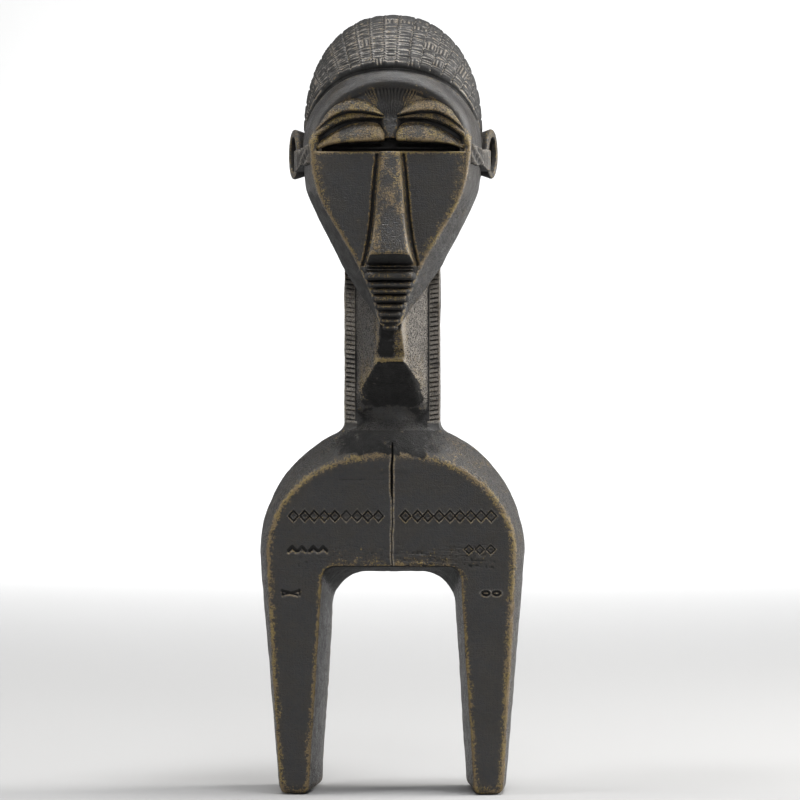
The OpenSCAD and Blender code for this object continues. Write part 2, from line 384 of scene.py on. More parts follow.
def finished(bm, mesh):
    bmesh.ops.recalc_face_normals(bm, faces=bm.faces[:])
    bm.to_mesh(mesh)
    bm.free()
    return mesh


def cap_holes(mesh):
    bm = bmesh.new()
    bm.from_mesh(mesh)
    cap(bm, [e for e in bm.edges if e.is_boundary])
    return finished(bm, mesh)


def refine(shape, chosen, cuts):
    """Split the faces whose corners are all chosen into smaller ones, where fine carving goes."""
    pick = chosen(shape.verts)
    bm = bmesh.new()
    points = [bm.verts.new(v) for v in shape.verts.tolist()]
    faces = [bm.faces.new([points[i] for i in f]) for f in shape.faces.tolist()]
    inside = pick[shape.faces].all(axis=1)
    edges = {e for face, take in zip(faces, inside.tolist()) if take for e in face.edges}
    bmesh.ops.subdivide_edges(bm, edges=list(edges), cuts=cuts, use_grid_fill=True)
    bmesh.ops.triangulate(bm, faces=[f for f in bm.faces if len(f.verts) > 4])
    bm.verts.index_update()
    verts = np.array([v.co for v in bm.verts])
    quads = [[v.index for v in f.verts] for f in bm.faces]
    bm.free()
    return Shape(verts, np.array([q if len(q) == 4 else q + q[-1:] for q in quads]))


def stand(name, data):
    obj = bpy.data.objects.new(name, data)
    bpy.context.scene.collection.objects.link(obj)
    return obj


def piece(mesh, slot, *nodes):
    """Stand a mesh in for its CAD nodes, with the finish of its slot."""
    obj = stand(nodes[0] + "_wood", mesh)
    mesh.materials.clear()
    mesh.materials.append(bpy.data.materials["wood_" + slot])
    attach(obj, "root")
    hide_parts(*nodes)


# --- Fork and neck field ---
def fork_outline(x, z):
    """Distance outside the fork's broadest outline, seen from the front."""
    leg_half = SHOULDER_R - LEG_TAPER * (SHOULDER_Z - z)
    leg = abs(x) - leg_half
    arch = np.hypot(x, z - SHOULDER_Z) - SHOULDER_R
    return np.where(z > SHOULDER_Z, arch, leg)


def front_inset(x, z):
    """How far the front face's outline lies inside the broadest one."""
    rise = np.maximum(z - SHOULDER_Z, 0)
    up = rise**2 / np.maximum(rise**2 + x**2, 1e-6)
    leg = FRONT_INSET_FOOT + (FRONT_INSET_SIDE - FRONT_INSET_FOOT) * unit(z / SHOULDER_Z) ** 1.2
    return np.where(z > SHOULDER_Z, FRONT_INSET_SIDE + (FRONT_INSET_TOP - FRONT_INSET_SIDE) * up, leg)


def fork_inset(x, z):
    """Distance outside the outline of the fork's front face."""
    return fork_outline(x, z) + front_inset(x, z)


def gap(x, y, z):
    to_front = unit((FORK_BACK - y) / FORK_DEPTH)
    half = GAP_HALF_TOP + (GAP_HALF_FOOT - GAP_HALF_TOP) * np.clip(
        (GAP_STRAIGHT_Z - z) / GAP_STRAIGHT_Z, -0.15, 1) + GAP_DRAFT * to_front
    top = GAP_CROWN_Z + GAP_CROWN_DRAFT * to_front
    r = GAP_R_BACK + (GAP_R_FRONT - GAP_R_BACK) * to_front**1.5
    qx = abs(x) - half + r
    qz = z - top + r
    return np.hypot(np.maximum(qx, 0), np.maximum(qz, 0)) + np.minimum(np.maximum(qx, qz), 0) - r


def fork(x, y, z):
    to_front = unit((FORK_FRONT + BEVEL_DEPTH - y) / BEVEL_DEPTH) ** 1.5
    to_back = unit((y - FORK_BACK + BEVEL_DEPTH) / BEVEL_DEPTH) ** 1.8
    broad = fork_outline(x, z) + front_inset(x, z) * (to_front + 0.8 * to_back)
    slab = np.maximum(FORK_FRONT - y, y - FORK_BACK)
    body = smax(broad, slab, 1.0)
    body = smax(body, -gap(x, y, z), 0.9)
    return smax(body, -z, 2.4)


def neck(x, y, z):
    front = curve(z, NECK_FRONT)
    slope = (curve(z + 0.1, NECK_FRONT) - front) / 0.1
    ahead = (front + 0.045 * x**2 * step(99, 95, z) - y) / np.sqrt(1 + slope**2)
    prow_half = PROW_HALF + PROW_FLARE * (y - PROW_Y)
    sides = (abs(x) - np.minimum(prow_half + 0.15, NECK_HALF)) * 0.9
    flare = np.clip(96.5 - z, 0, 8) * 0.8
    sides = sides - np.where(y < 0, flare, 0)
    back = np.hypot(x, np.maximum(y + NECK_BACK_R - NECK_BACK_Y, 0)) - NECK_BACK_R
    soft = 0.6 + 1.7 * step(108.5, 102, z)
    post = smax(smax(smax(sides, ahead, soft), back, 0.8), abs(x) - POST_HALF, 0.4)
    combs = smax(abs(x) - NECK_HALF, abs(y) - COMB_DEPTH_HALF, 0.6)
    return np.maximum(smin(post, combs, 0.25), 84.0 - z)


def body(x, y, z):
    return smin(fork(x, y, z), neck(x, y, z), 2.2)


# --- Head field ---
def ellipse(x, z, half, rise):
    r = np.sqrt((x / half) ** 2 + ((z - BROW_CENTRE_Z) / rise) ** 2)
    return (r - 1) * min(half, rise)


def face_outline(x, z):
    side = (abs(x) - curve(z, FACE_HALF)) * 0.88
    side = smax(side, CHIN_Z - 0.3 - z, 0.8)
    return np.where(z > BROW_CENTRE_Z, ellipse(x, z, BROW_HALF_W, BROW_RISE), side)


def super_norm(x, y, z):
    q = [abs((v - c) / r) ** SKULL_POWER for v, c, r in zip((x, y, z), SKULL_C, SKULL_R)]
    return (q[0] + q[1] + q[2]) ** (1 / SKULL_POWER)


def broad_outline(x, z):
    side = (abs(x) - curve(z, HEAD_HALF)) * 0.9
    return np.where(z > BROW_CENTRE_Z, ellipse(x, z, RIM_HALF_W, RIM_RISE), side)


def hair_plane(y, z):
    """Distance in front of and below the plane of the hairline, negative behind it."""
    return -(math.sin(HAIR_PLANE_TILT) * y + math.cos(HAIR_PLANE_TILT) * (z - HAIR_PLANE_Z))


def head(x, y, z, relief):
    skull = (super_norm(x, y, z) - 1) * SKULL_MEAN_R
    t = unit((y - FACE_Y) / SIDE_DEPTH)
    spread = 1 - (1 - t) ** 1.7
    block = face_outline(x, z) * (1 - spread) + broad_outline(x, z) * spread
    block = smax(block, y - 8.0, 8.0)
    under = np.minimum(CHIN_Z - 0.4 + UNDER_CHIN_SLOPE * (y - FACE_Y), UNDER_JAW_Z + 0.5 * (y + 8.0))
    block = smax(block, (under - z) * 0.69, 1.2)
    whole = smin(block, skull, 2.0)
    groove = 0.7 * bump(hair_plane(y, z) - 0.6, 0.8) * step(2, -6, y)
    whole = whole + groove
    soft = 0.9 + 4.0 * step(SLIT_Z + 1.5, SLIT_Z + 7, z)
    return smax(whole, FACE_Y + relief - y, soft)


# --- Carving on the front of the head: depths below the face's plane ---
# Lines of the eye and brow, as distance from the middle and height
LID_TOP = [(1.5, 168.7), (2.6, 170.1), (5.0, 170.9), (9.5, 170.5), (14.0, 168.6), (18.4, 165.6)]
LID_FOOT = [(0.0, 166.5), (8.0, 166.25), (12.0, 166.0), (16.0, 165.3), (18.7, 164.2)]
HOLLOW_TOP = [(2.0, 172.0), (6.0, 172.1), (10.0, 171.7), (14.0, 170.3), (18.6, 167.3)]
BROW_LINE = [(1.5, 172.6), (5.0, 173.3), (8.5, 173.7), (12.0, 173.4), (15.0, 172.0), (18.9, 168.7)]
BROW_TOP = [(1.5, 173.0), (4.5, 175.8), (8.5, 177.4), (12.0, 177.2), (16.0, 174.6), (19.0, 169.8)]
NOSE_HALF = [(132.6, 7.2), (134.6, 6.8), (138.2, 5.9), (147.5, 4.5), (155.5, 3.9), (164.5, 3.0)]
SLIT_HALF = 18.7
SLIT_DEPTH = 2.4
FIELD_DEPTH = 1.0
HOLLOW_DEPTH = 1.1


def face_relief(x, z):
    """Depth of the eye slit, the brow field, its hollows and funnel, and the line by the nose."""
    ax = abs(x)
    foot = curve(ax, LID_FOOT)
    slit = np.minimum(step(SLIT_Z - 0.2, SLIT_Z + 0.2, z), step(foot + 0.9, foot + 0.4, z))
    floor = SLIT_DEPTH + 1.0 * step(SLIT_Z + 0.8, SLIT_Z + 2.0, z) + 0.7 * bump(z - SLIT_Z - 0.3, 0.3)
    depth = floor * slit * step(SLIT_HALF + 0.2, SLIT_HALF - 0.4, ax)
    inner = ellipse(ax, z, RIM_INNER_W, RIM_INNER_RISE)
    in_field = step(0.9, -1.4, inner) * step(SLIT_Z + 0.2, SLIT_Z + 0.8, z)
    above = np.maximum(z - 168.3, 0)
    field = FIELD_DEPTH + 0.05 * above
    hollow = step(-0.6, 0.1, z - curve(ax, LID_TOP)) * step(0.3, -0.2, z - curve(ax, HOLLOW_TOP))
    field = field + HOLLOW_DEPTH * hollow * step(SLIT_HALF + 0.3, SLIT_HALF - 1.2, ax) * step(1.6, 3.2, ax)
    spread = 0.9 + 0.55 * above
    funnel = step(0.6, -0.5, ax - spread)
    turns = 7.5 * x / spread + 0.12 * np.sin(z * 1.3 + x)
    strands = 0.12 * np.cos(2 * np.pi * turns) * step(1.2, 3.0, spread)
    field = field + funnel * (strands - 0.4 * step(173.5, 167.5, z)) * step(181.5, 178.5, z)
    depth = np.maximum(depth, field * in_field)
    on_cheek = step(SLIT_Z - 0.3, SLIT_Z - 1.1, z) * step(132.9, 134.9, z)
    off_nose = ax - curve(z, NOSE_HALF)
    return depth + on_cheek * (0.6 * bump(off_nose - 0.2, 0.34) - 0.10 * bump(off_nose - 0.85, 0.28))


def head_front(x, y, z):
    return head(x, y, z, face_relief(x, z))


def nose(x, y, z):
    half = curve(z, NOSE_HALF)
    ridge = curve(z, [(134.0, -29.0), (137.2, -28.9), (147.0, -27.2), (155.5, -25.9), (164.0, -24.6)])
    draft = 0.55 + 0.06 * (FACE_Y - y)
    nick = sum(bump(z - at, 0.14) for at in (147.7, 149.3, 150.0)) * step(2.6, 3.6, abs(x))
    front = (ridge + 0.35 * nick + 0.03 * x**2 - y) * 0.98
    sides = (abs(x) - half + draft) * 0.96
    under = (135.2 + 0.32 * (FACE_Y - y) - z) * 0.9
    solid = smax(smax(sides, front, 0.9), under, 0.7)
    return np.maximum(smax(solid, z - SLIT_Z + 0.25, 0.4), y - FACE_Y - 1.2)


# Bars of the mouth and of the beard: lower edge, upper edge, half width, stand from the face
LIP_BARS = [
    (134.2, 134.95, 6.1, 1.4), (133.4, 134.0, 6.2, 1.6), (131.2, 133.2, 6.5, 2.9), (129.2, 130.6, 5.9, 2.2),
]
BEARD_BARS = [
    (127.6, 128.9, 4.9, 2.1), (125.5, 127.2, 4.6, 1.9), (123.6, 125.0, 3.8, 1.7),
    (121.7, 123.1, 3.1, 1.4), (120.1, 121.3, 2.6, 1.2), (118.5, 119.7, 1.8, 1.0),
]


def bars(rows):
    def field(x, y, z):
        out = 9.0
        for low, high, half, stand in rows:
            mid, rise = (low + high) / 2, (high - low) / 2
            bow = 0.35 * (abs(x) / half) ** 2
            a = abs(z - mid) - rise
            b = abs(x) - half - 0.25 * (y - FACE_Y)
            c = FACE_Y - stand + bow * stand * 0.5 - y
            out = np.minimum(out, smax(smax(a, c, 1.3), b, 0.9))
        base = smax(rows[-1][0] + 0.2 - z, z - rows[0][1] + 0.2, 0.3)
        base = np.maximum(base, np.maximum(FACE_Y - 0.25 - y, abs(x) - curve(z, FACE_HALF) + 0.3))
        return np.maximum(np.minimum(out, base), y - FACE_Y - 1.0)
    return field


def eyelid(ax, y, z):
    """Field of the right lid: a bulging strip that thins towards the temple."""
    low, high = curve(ax, LID_FOOT), curve(ax, LID_TOP)
    v = unit((z - low) / np.maximum(high - low, 0.3))
    tip = step(18.8, 12.0, ax)
    skin = FACE_Y + 1.3 - (0.6 + 1.2 * tip) * (1 - v**2.4)
    skin = skin - 0.5 * np.sin(np.pi * unit(ax / 18)) * (1 - v)
    field_v = smax(smax(skin - y, low - z, 0.5), z - high - 0.3, 0.5)
    return np.maximum(smax(smax(field_v, 1.45 - ax, 0.7), ax - SLIT_HALF + 0.1, 0.3), y - FACE_Y - 4.5)


def brow(ax, y, z):
    """Field of the right brow's two bars."""
    line, hollow, top = curve(ax, BROW_LINE), curve(ax, HOLLOW_TOP), curve(ax, BROW_TOP)
    lower_mid = (line + hollow) / 2 - 0.1
    lower_half = np.maximum((line - hollow) / 2 - 0.18, 0.12)
    lower = smax(abs(z - lower_mid) - lower_half, FACE_Y + 0.35 + 0.5 * (z - lower_mid) ** 2 - y, 0.5)
    v = unit((z - line) / np.maximum(top - line, 0.3))
    skin = FACE_Y - 0.25 + 1.9 * v**2.0 + 0.9 * step(14, 19, ax)
    upper = smax(smax(skin - y, line + 0.2 - z, 0.6), z - top - 0.4, 0.4)
    inner_end = 1.5 + 0.42 * np.maximum(z - 174.5, 0) - ax
    both = smax(smax(np.minimum(lower, upper), inner_end, 0.6), ax - 19.0, 0.4)
    return np.maximum(both, y - FACE_Y - 3.0)


# --- Ears ---
EAR_TURN = math.radians(17.0)
EAR_FACE = np.array([25.85, 0.0, 164.3])
EAR_HALF_Y = 5.0
EAR_HALF_Z = 6.6
EAR_HOLLOW_Y = 3.3
EAR_HOLLOW_Z = 4.6
ARM_FRONT_Y = -20.4          # the arm runs from here back to the ring
ARM_LONG = 15.6


def ear_axes(ax, y):
    """Place across the ring's open face, and out from it."""
    dx, dy = ax - EAR_FACE[0], y - EAR_FACE[1]
    return (dx * math.sin(EAR_TURN) + dy * math.cos(EAR_TURN),
            dx * math.cos(EAR_TURN) - dy * math.sin(EAR_TURN))


def ear(ax, y, z):
    """Field of the right ear: a ring with a ridged hollow, and a ribbed arm from the face's edge."""
    along, out = ear_axes(ax, y)
    up = z - EAR_FACE[2]
    waist = 1 - 0.05 * np.clip(-out, 0, 3)
    ring = (np.hypot(along / (EAR_HALF_Y * waist), up / (EAR_HALF_Z * waist)) - 1) * 5.4
    ring = smax(smax(ring, out, 0.9), -out - 5.0, 0.5)
    hollow = (np.hypot(along / EAR_HOLLOW_Y, (up + 0.1) / EAR_HOLLOW_Z) - 1) * 3.6
    ridges = 0.34 * np.cos(2 * np.pi * (up + 0.7 * along) / 1.5)
    ring = smax(ring, -np.maximum(hollow, -out - 2.9 - ridges), 0.3)
    back = (y - ARM_FRONT_Y) / ARM_LONG
    arm_face = 20.75 + 4.2 * back - ax
    waist_in = 0.7 * bump(back - 0.62, 0.22)
    low, high = 160.5 - 0.9 * back + waist_in, 165.7 - 0.5 * back - waist_in
    knots = 0.7 + 0.5 * np.sin(1.9 * z + 0.8 * y)
    ribs = 0.62 * knots * np.cos(2 * np.pi * (y - ARM_FRONT_Y) / 2.3) * step(-9.5, -12.0, y)
    ribs = ribs + 0.1 * np.cos(2 * np.pi * (y - ARM_FRONT_Y) / 1.05) * step(-12.5, -10.5, y)
    arm = smax(smax(-arm_face - ribs, z - high, 0.5), low - z, 0.5)
    arm = smax(smax(arm, -20.7 - y, 0.4), y + 3.4, 0.4)
    arm = np.maximum(arm, arm_face - 3.2)
    return smin(ring, arm, 0.4)


# --- Notched strips of the neck ---
def comb(ax, y, z):
    """Field of the right strip, with sloping notches cut into its front."""
    turn = (z - COMB_FIRST_Z) / COMB_PITCH - 0.12 * (ax - 10.7)
    tooth = abs((turn % 1.0) - 0.5) * 2
    cut_in = 0.34 * step(0.34, 0.12, tooth) + 0.22 * ((turn + 0.5) % 1.0)
    cut_in = cut_in * step(9.55, 9.8, ax) * step(11.95, 11.7, ax)
    cut_in = cut_in * step(COMB_FIRST_Z - 0.4, COMB_FIRST_Z, z) + 0.5 * bump(ax - 9.3, 0.2)
    block = np.maximum(np.minimum(body(ax, y, z), 40.0), POST_HALF - 0.55 - ax)
    foot = 12 * step(95.6, 94.0, z)
    block = np.maximum(block, -COMB_DEPTH_HALF + 0.2 + cut_in - foot - y)
    return np.maximum(block, z - 140.0)


# --- Hair ---
HAIR_AXIS = np.array([0.0, 3.5, 148.0])
COLUMN_TURN = math.radians(4.4)
COLUMN_SAMPLES = (0.0, 0.05, 0.11, 0.2, 0.35, 0.5, 0.65, 0.8, 0.89, 0.95)
ALONG = 300                  # points down one line of the hair
LEAN_SAMPLES = 721           # points of the scan that finds where a line starts and ends
LINE_SAMPLES = 400           # points that measure its length
ROW_PITCH = 2.3
RIB_PITCH = ROW_PITCH / 3
BEADED_LINES = (-6, -4, -2, -1, 0, 1)


def hair_point(turn, lean, lift):
    """Points of the hair's dome, where turn fans about the front-to-back axis."""
    aim = np.stack([np.sin(turn) * np.cos(lean), np.sin(lean), np.cos(turn) * np.cos(lean)], axis=-1)
    near, far = np.zeros(turn.shape), np.full(turn.shape, 80.0)
    for _ in range(26):
        mid = (near + far) / 2
        p = HAIR_AXIS + mid[..., None] * aim
        outside = super_norm(p[..., 0], p[..., 1], p[..., 2]) > 1
        far = np.where(outside, mid, far)
        near = np.where(outside, near, mid)
    return HAIR_AXIS + (near + lift)[..., None] * aim


def hair_relief(column, along, radius):
    """Height of the combed pattern: columns, rows and the fine ribs in each cell."""
    to_line = (column - np.round(column)) * COLUMN_TURN * radius
    line = np.round(column).astype(int)
    cell = np.floor(column).astype(int)
    row = np.floor(along / ROW_PITCH).astype(int)
    zero = np.zeros_like(row)
    lot = lattice(cell + 50, row, zero, 3)
    jitter = 0.25 * (lattice(cell + 50, row, zero, 9) - 0.5)
    beaded = np.isin(line, BEADED_LINES)
    bead = 0.34 * bump(to_line, 0.34) * (0.62 + 0.38 * np.cos(2 * np.pi * along / 0.84))
    groove = -0.38 * bump(to_line, 0.20)
    to_row = (along / ROW_PITCH - np.round(along / ROW_PITCH) + jitter * 0.1) * ROW_PITCH
    rows = -0.30 * bump(to_row, 0.17)
    ribs_across = np.cos(2 * np.pi * (along / RIB_PITCH + jitter))
    ribs_along = np.cos(2 * np.pi * (column * 4 + jitter))
    ribs = np.where(lot > 0.88, ribs_along, ribs_across) * (0.27 + 0.10 * lattice(cell + 50, row, zero, 4))
    crown = 0.05 * np.cos(np.pi * (column - cell - 0.5))
    beside = 1 - beaded * bump(to_line, 0.60)
    return np.where(beaded, bead, groove) + beside * (rows + ribs) + crown + 0.08 * (lot - 0.5)


def hair_lines():
    """Lines over the dome from hairline to hairline: column, lean, way along, and length."""
    columns = np.array([k + u for k in range(-18, 19) for u in COLUMN_SAMPLES]) - 0.5
    quarter = math.pi / 2 * 0.999
    scan = np.linspace(-quarter, quarter, LEAN_SAMPLES)
    turn_grid, lean_grid = np.meshgrid(columns * COLUMN_TURN, scan, indexing="ij")
    p = hair_point(turn_grid, lean_grid, np.zeros_like(turn_grid))
    behind = hair_plane(p[..., 1], p[..., 2])
    haired = (behind < 0).sum(axis=1) > 12
    columns, behind = columns[haired], behind[haired]
    leans, alongs, lengths = [], [], []
    for turn, off in zip(columns * COLUMN_TURN, behind):
        above = np.flatnonzero(off < 0)
        ends = []
        for a, b in ((above[0] - 1, above[0]), (above[-1], above[-1] + 1)):
            t = off[a] / (off[a] - off[b])
            ends.append(scan[a] + t * (scan[b] - scan[a]))
        fine = np.linspace(ends[0], ends[1], LINE_SAMPLES)
        line = hair_point(np.full(LINE_SAMPLES, turn), fine, np.zeros(LINE_SAMPLES))
        run = np.concatenate([[0], np.cumsum(np.linalg.norm(np.diff(line, axis=0), axis=1))])
        along = np.linspace(0, run[-1], ALONG)
        along[1] = min(0.12, along[2] * 0.4)
        leans.append(np.interp(along, run, fine))
        alongs.append(along)
        lengths.append(run[-1])
    columns = columns[:, None] + np.zeros(ALONG)
    return columns, np.array(leans), np.array(alongs), np.array(lengths)[:, None]


def hair_shape():
    columns, lean, along, length = hair_lines()
    turn = columns * COLUMN_TURN
    flat = hair_point(turn, lean, np.zeros_like(turn))
    radius = np.hypot(flat[..., 0] - HAIR_AXIS[0], flat[..., 2] - HAIR_AXIS[2])
    lip = 0.55 * step(0.0, 0.25, along) * step(0.0, 0.25, length - along) - 0.25
    lift = lip + hair_relief(columns + 0.5, along, radius) * step(0.1, 0.5, along)
    lift[:, 0] = -0.35
    lift[:, -1] = -0.35
    return hair_point(turn, lean, lift), along


def hair():
    """Closed mesh of the ribbed cap, with its marks."""
    p, along = hair_shape()
    wide, deep = p.shape[:2]
    index = np.arange(wide * deep).reshape(wide, deep)
    a, b, c, d = index[:-1, :-1], index[1:, :-1], index[1:, 1:], index[:-1, 1:]
    faces = np.stack([a, b, c, d], axis=-1).reshape(-1, 4)[:, ::-1]
    shape = Shape(p.reshape(-1, 3), faces)
    p = shape.verts
    n = shape.normals()
    fine = bulge(p, faces, n, 4)
    middle = 0.45 * bump(p[:, 0] + 3, 11.0) * step(0.3, 0.9, -n[:, 1])
    # Painted highlights on the tops of the ribs, patchy.
    patchy_glints = 0.8 + 0.5 * noise(p, 5.0, 83)
    shape.add(proud=unit(fine / 0.05), sunk=unit(-fine / 0.035) + middle,
              pale=0.95 * unit(fine / 0.05 - 0.10) * patchy_glints,
              rub=(0.55 * bump(along - 0.5, 0.7)).ravel())
    return cap_holes(to_mesh("coiffure", shape))


# --- Signs cut into the front of the fork ---
SIGN_ROW_Z = 71.1
SIGNS_RIGHT = (3.6, 6.7, 9.35, 12.2, 15.0, 17.5, 20.3, 22.9, 25.5)
SIGNS_LEFT = (-24.96, -22.1, -19.7, -17.1, -14.4, -11.5, -8.7, -6.0, -3.3)
LOW_ROW_Z = 62.6
LOW_LEFT = (-25.3, -22.8, -19.9, -17.4)
LOW_RIGHT = (19.8, 22.6, 25.4)
LOOP_Z = 51.4
LOOP_X = 25.5
BOW = (
    ((-27.9, 52.0), (-27.7, 51.0)), ((-27.8, 51.9), (-24.0, 50.9)), ((-27.7, 51.0), (-26.2, 51.4)),
    ((-25.2, 51.4), (-23.5, 52.0)), ((-23.5, 52.0), (-23.4, 51.0)),
)
CRACK_X = 0.2
CRACK_END_Z = 74.5
CRACK_TOP_Z = 89.6
CRACK_HALF = 0.24
CRACK_DEPTH = 2.6


def stroke(x, z, a, b):
    """Distance from the line between a and b."""
    ax, az, bx, bz = a[0], a[1], b[0], b[1]
    t = unit(((x - ax) * (bx - ax) + (z - az) * (bz - az)) / ((bx - ax) ** 2 + (bz - az) ** 2))
    return np.hypot(x - ax - t * (bx - ax), z - az - t * (bz - az))


def lozenge(x, z, cx, cz, wide, tall):
    """Lozenge with a cut outline and a shallow dip in its middle."""
    inside = 1 - abs(x - cx) / wide - abs(z - cz) / tall
    return 0.30 * unit(inside) + 0.34 * bump(inside - 0.10, 0.15) - 0.12 * bump(inside + 0.16, 0.13)


def chevron(x, z, cx, cz, wide, tall):
    left = stroke(x, z, (cx - wide, cz - tall), (cx, cz + tall))
    right = stroke(x, z, (cx + wide, cz - tall), (cx, cz + tall))
    pit = bump(np.minimum(left, right), 0.34)
    return pit + 0.35 * unit(1 - abs(x - cx) / wide - abs(z - cz + tall * 0.4) / tall)


def signs(x, z):
    """Depth of the chip-carved rows, loops and bow on the fork's front."""
    depth = np.zeros_like(x)
    for i, cx in enumerate(SIGNS_RIGHT):
        depth = depth + (1.15 - 0.06 * i) * lozenge(x, z, cx, SIGN_ROW_Z, 1.45, 1.55)
    for i, cx in enumerate(SIGNS_LEFT):
        deep = 0.85 + 0.2 * (i % 3 == 1) - 0.3 * (i == 5)
        depth = depth + deep * lozenge(x, z, cx, SIGN_ROW_Z, 1.35, 1.5)
        depth = depth + 0.12 * chevron(x, z, cx, SIGN_ROW_Z + 0.5, 0.8, 0.6)
    for i, cx in enumerate(LOW_LEFT):
        depth = depth + (0.45 - 0.08 * (i % 2)) * chevron(x, z, cx, LOW_ROW_Z, 0.95, 0.5)
    for cx in LOW_RIGHT:
        depth = depth + 0.75 * lozenge(x, z, cx, LOW_ROW_Z, 1.3, 1.2)
    for cx in (LOOP_X - 1.35, LOOP_X + 1.35):
        ring = np.hypot((x - cx) / 1.25, (z - LOOP_Z) / 0.75) - 1
        depth = depth + 0.36 * bump(ring + 0.32, 0.26) - 0.09 * bump(ring - 0.12, 0.24)
    for a, b in BOW:
        depth = depth + 0.32 * bump(stroke(x, z, a, b), 0.26)
    return depth


def crack(x, z):
    """Depth and edge of the drying crack down the middle of the fork's front."""
    middle = CRACK_X + 0.10 * np.sin(z / 2.7) + 0.05 * np.sin(z / 0.9)
    rise = unit((z - CRACK_END_Z) / (CRACK_TOP_Z - CRACK_END_Z))
    half = CRACK_HALF * (0.5 + 0.5 * np.sin(math.pi * rise)) * step(0.0, 0.12, rise) + 1e-3
    off = abs(x - middle)
    slot = CRACK_DEPTH * step(half + 0.08, half - 0.08, off) * step(0.0, 0.04, rise)
    healed = step(CRACK_END_Z + 1.5, CRACK_END_Z, z)
    hair_line = 0.20 * bump(off, 0.16) * step(57.0, 58.0, z) * healed
    lips = (0.09 + 0.06 * healed) * bump(off - half - 0.30, 0.22) * step(56.8, 58.0, z)
    return (slot + hair_line - lips) * step(CRACK_TOP_Z + 0.5, CRACK_TOP_Z - 0.9, z)


def tool_lines(p):
    """Broken level cuts and stipple left above the gap."""
    band = step(56.0, 59.0, p[:, 2]) * step(66.0, 62.0, p[:, 2]) * step(31.0, 24.0, abs(p[:, 0]))
    level = unit(noise(p * [1, 1, 7.5], 2.6, 21) - 0.15)
    dots = unit(noise(p, 0.55, 22) - 0.2)
    side = 0.55 + 0.45 * step(-6, 10, p[:, 0])
    return band * side * (0.24 * level + 0.40 * dots)


def scratches(x, z):
    """Faint level scratches across the fork's front."""
    upper = bump(z - 80.6 - 0.01 * x, 0.13) * step(-16, -12, x) * step(31, 27, x)
    lower = bump(z - 55.2 + 0.02 * x, 0.12) * step(21, 23, x)
    return 0.09 * upper + 0.07 * lower


def carved_zone(p):
    """Where the fork's mesh has to be fine."""
    x, y, z = p.T
    ax = abs(x)
    top = (abs(z - SIGN_ROW_Z) < 2.2) & (ax < 27.6)
    low = (abs(z - LOW_ROW_Z) < 1.7) & (ax > 14.9) & (ax < 27.6)
    loops = (abs(z - LOOP_Z) < 1.8) & (ax > 22.3) & (ax < 29.2)
    split = (abs(x - CRACK_X) < 1.3) & (z > 56.5)
    stipple = (z > 57.0) & (z < 64.5) & (ax < 20)
    return (y < -8.5) & (top | low | loops | split | stipple)


def hand_work(p, n):
    """Slight unevenness of hand carving and wear, outwards."""
    aside = step(0.9, 0.5, -n[:, 1])
    strokes = 0.07 * noise(p * [1, 1, 2.2], 5.0, 4) + 0.035 * noise(p, 1.6, 5)
    return 0.13 * noise(p, 8.0, 1) + 0.05 * noise(p, 3.0, 2) + 0.015 * noise(p, 1.1, 3) + aside * strokes


def edge_chips(p, proud):
    """Small chips along the edges, inwards."""
    chips = unit(noise(p, 1.7, 31) - 0.25) + 0.7 * unit(noise(p, 0.9, 32) - 0.35)
    return -0.5 * chips * unit(proud - 0.25)


def carved(field, lo, hi, cell):
    """Mesh of a field, with the unevenness of hand carving."""
    shape = Shape(*surface(field, lo, hi, cell))
    shape.push(hand_work)
    return shape


def fork_shape():
    cell = 0.42
    shape = refine(Shape(*surface(body, (-36, -15, -1.2), (36, 15, 98), cell)), carved_zone, 2)
    shape.push(hand_work)
    n = shape.normals()
    proud = unit(bulge(shape.verts, shape.faces, n, 8) / 0.12)
    shape.push(lambda p, n: edge_chips(p, proud))
    cut_signs(shape, n, cell)
    neck_foot(shape)
    x, y, z = shape.verts.T
    # Painted shade on the faces that look down in and beside the gap.
    in_gap = step(1.2, 0.4, gap(x, y, z) * -1) * step(1.5, 0.6, gap(x, y, z))
    facing_down = step(0.2, 0.7, -shape.normals()[:, 2]) * step(8, 12, z)
    shape.add(sunk=in_gap * facing_down * 0.9)
    return shape


def cut_signs(shape, n, cell):
    """Cut the signs and the crack into the fork's front, with painted shade in the crack, the pits and
    their upper facets, painted light on their lower facets, and pale worn lips and outlines.
    """
    x, y, z = shape.verts.copy().T
    in_front = y < FRONT_HALF_Y
    front = step(0.35, 0.8, -n[:, 1]) * in_front
    cut_in = front * (signs(x, z) + tool_lines(shape.verts) + scratches(x, z))
    lower_facet, upper_facet, deepest = (front * np.clip(rise, 0, 0.2) / 0.2 for rise in (
        signs(x, z + 0.25) - signs(x, z - 0.05),
        signs(x, z - 0.30) - signs(x, z + 0.05),
        signs(x, z) - 0.22))
    split = crack(x, z) * in_front * unit(-n[:, 1] * 1.6)
    shape.verts[:, 1] += cut_in + split
    shape.weather(cell, {"pebble": fork_pebble, "rub": fork_rub})
    # Painted shade in the crack, in the pits' depths and on their upper facets; painted light takes some of
    # it off the lower facets.
    dark = 1.6 * unit(split) + 0.75 * deepest + 0.9 * upper_facet - 0.5 * lower_facet
    shape.marks["sunk"] = np.clip(shape.marks["sunk"] + dark, 0, 1.5)
    lips = unit(-split / 0.11)
    outline = front * unit(-signs(x, z) / 0.10)
    # Pale worn lips and outlines, and a painted highlight, pale and ochre, on the lower facets.
    pale = 0.80 * lips + 0.60 * outline * (1 - upper_facet) + 0.35 * lower_facet
    shape.add(rub=0.55 * lower_facet * (1 - deepest), proud=0.6 * lips, pale=pale)


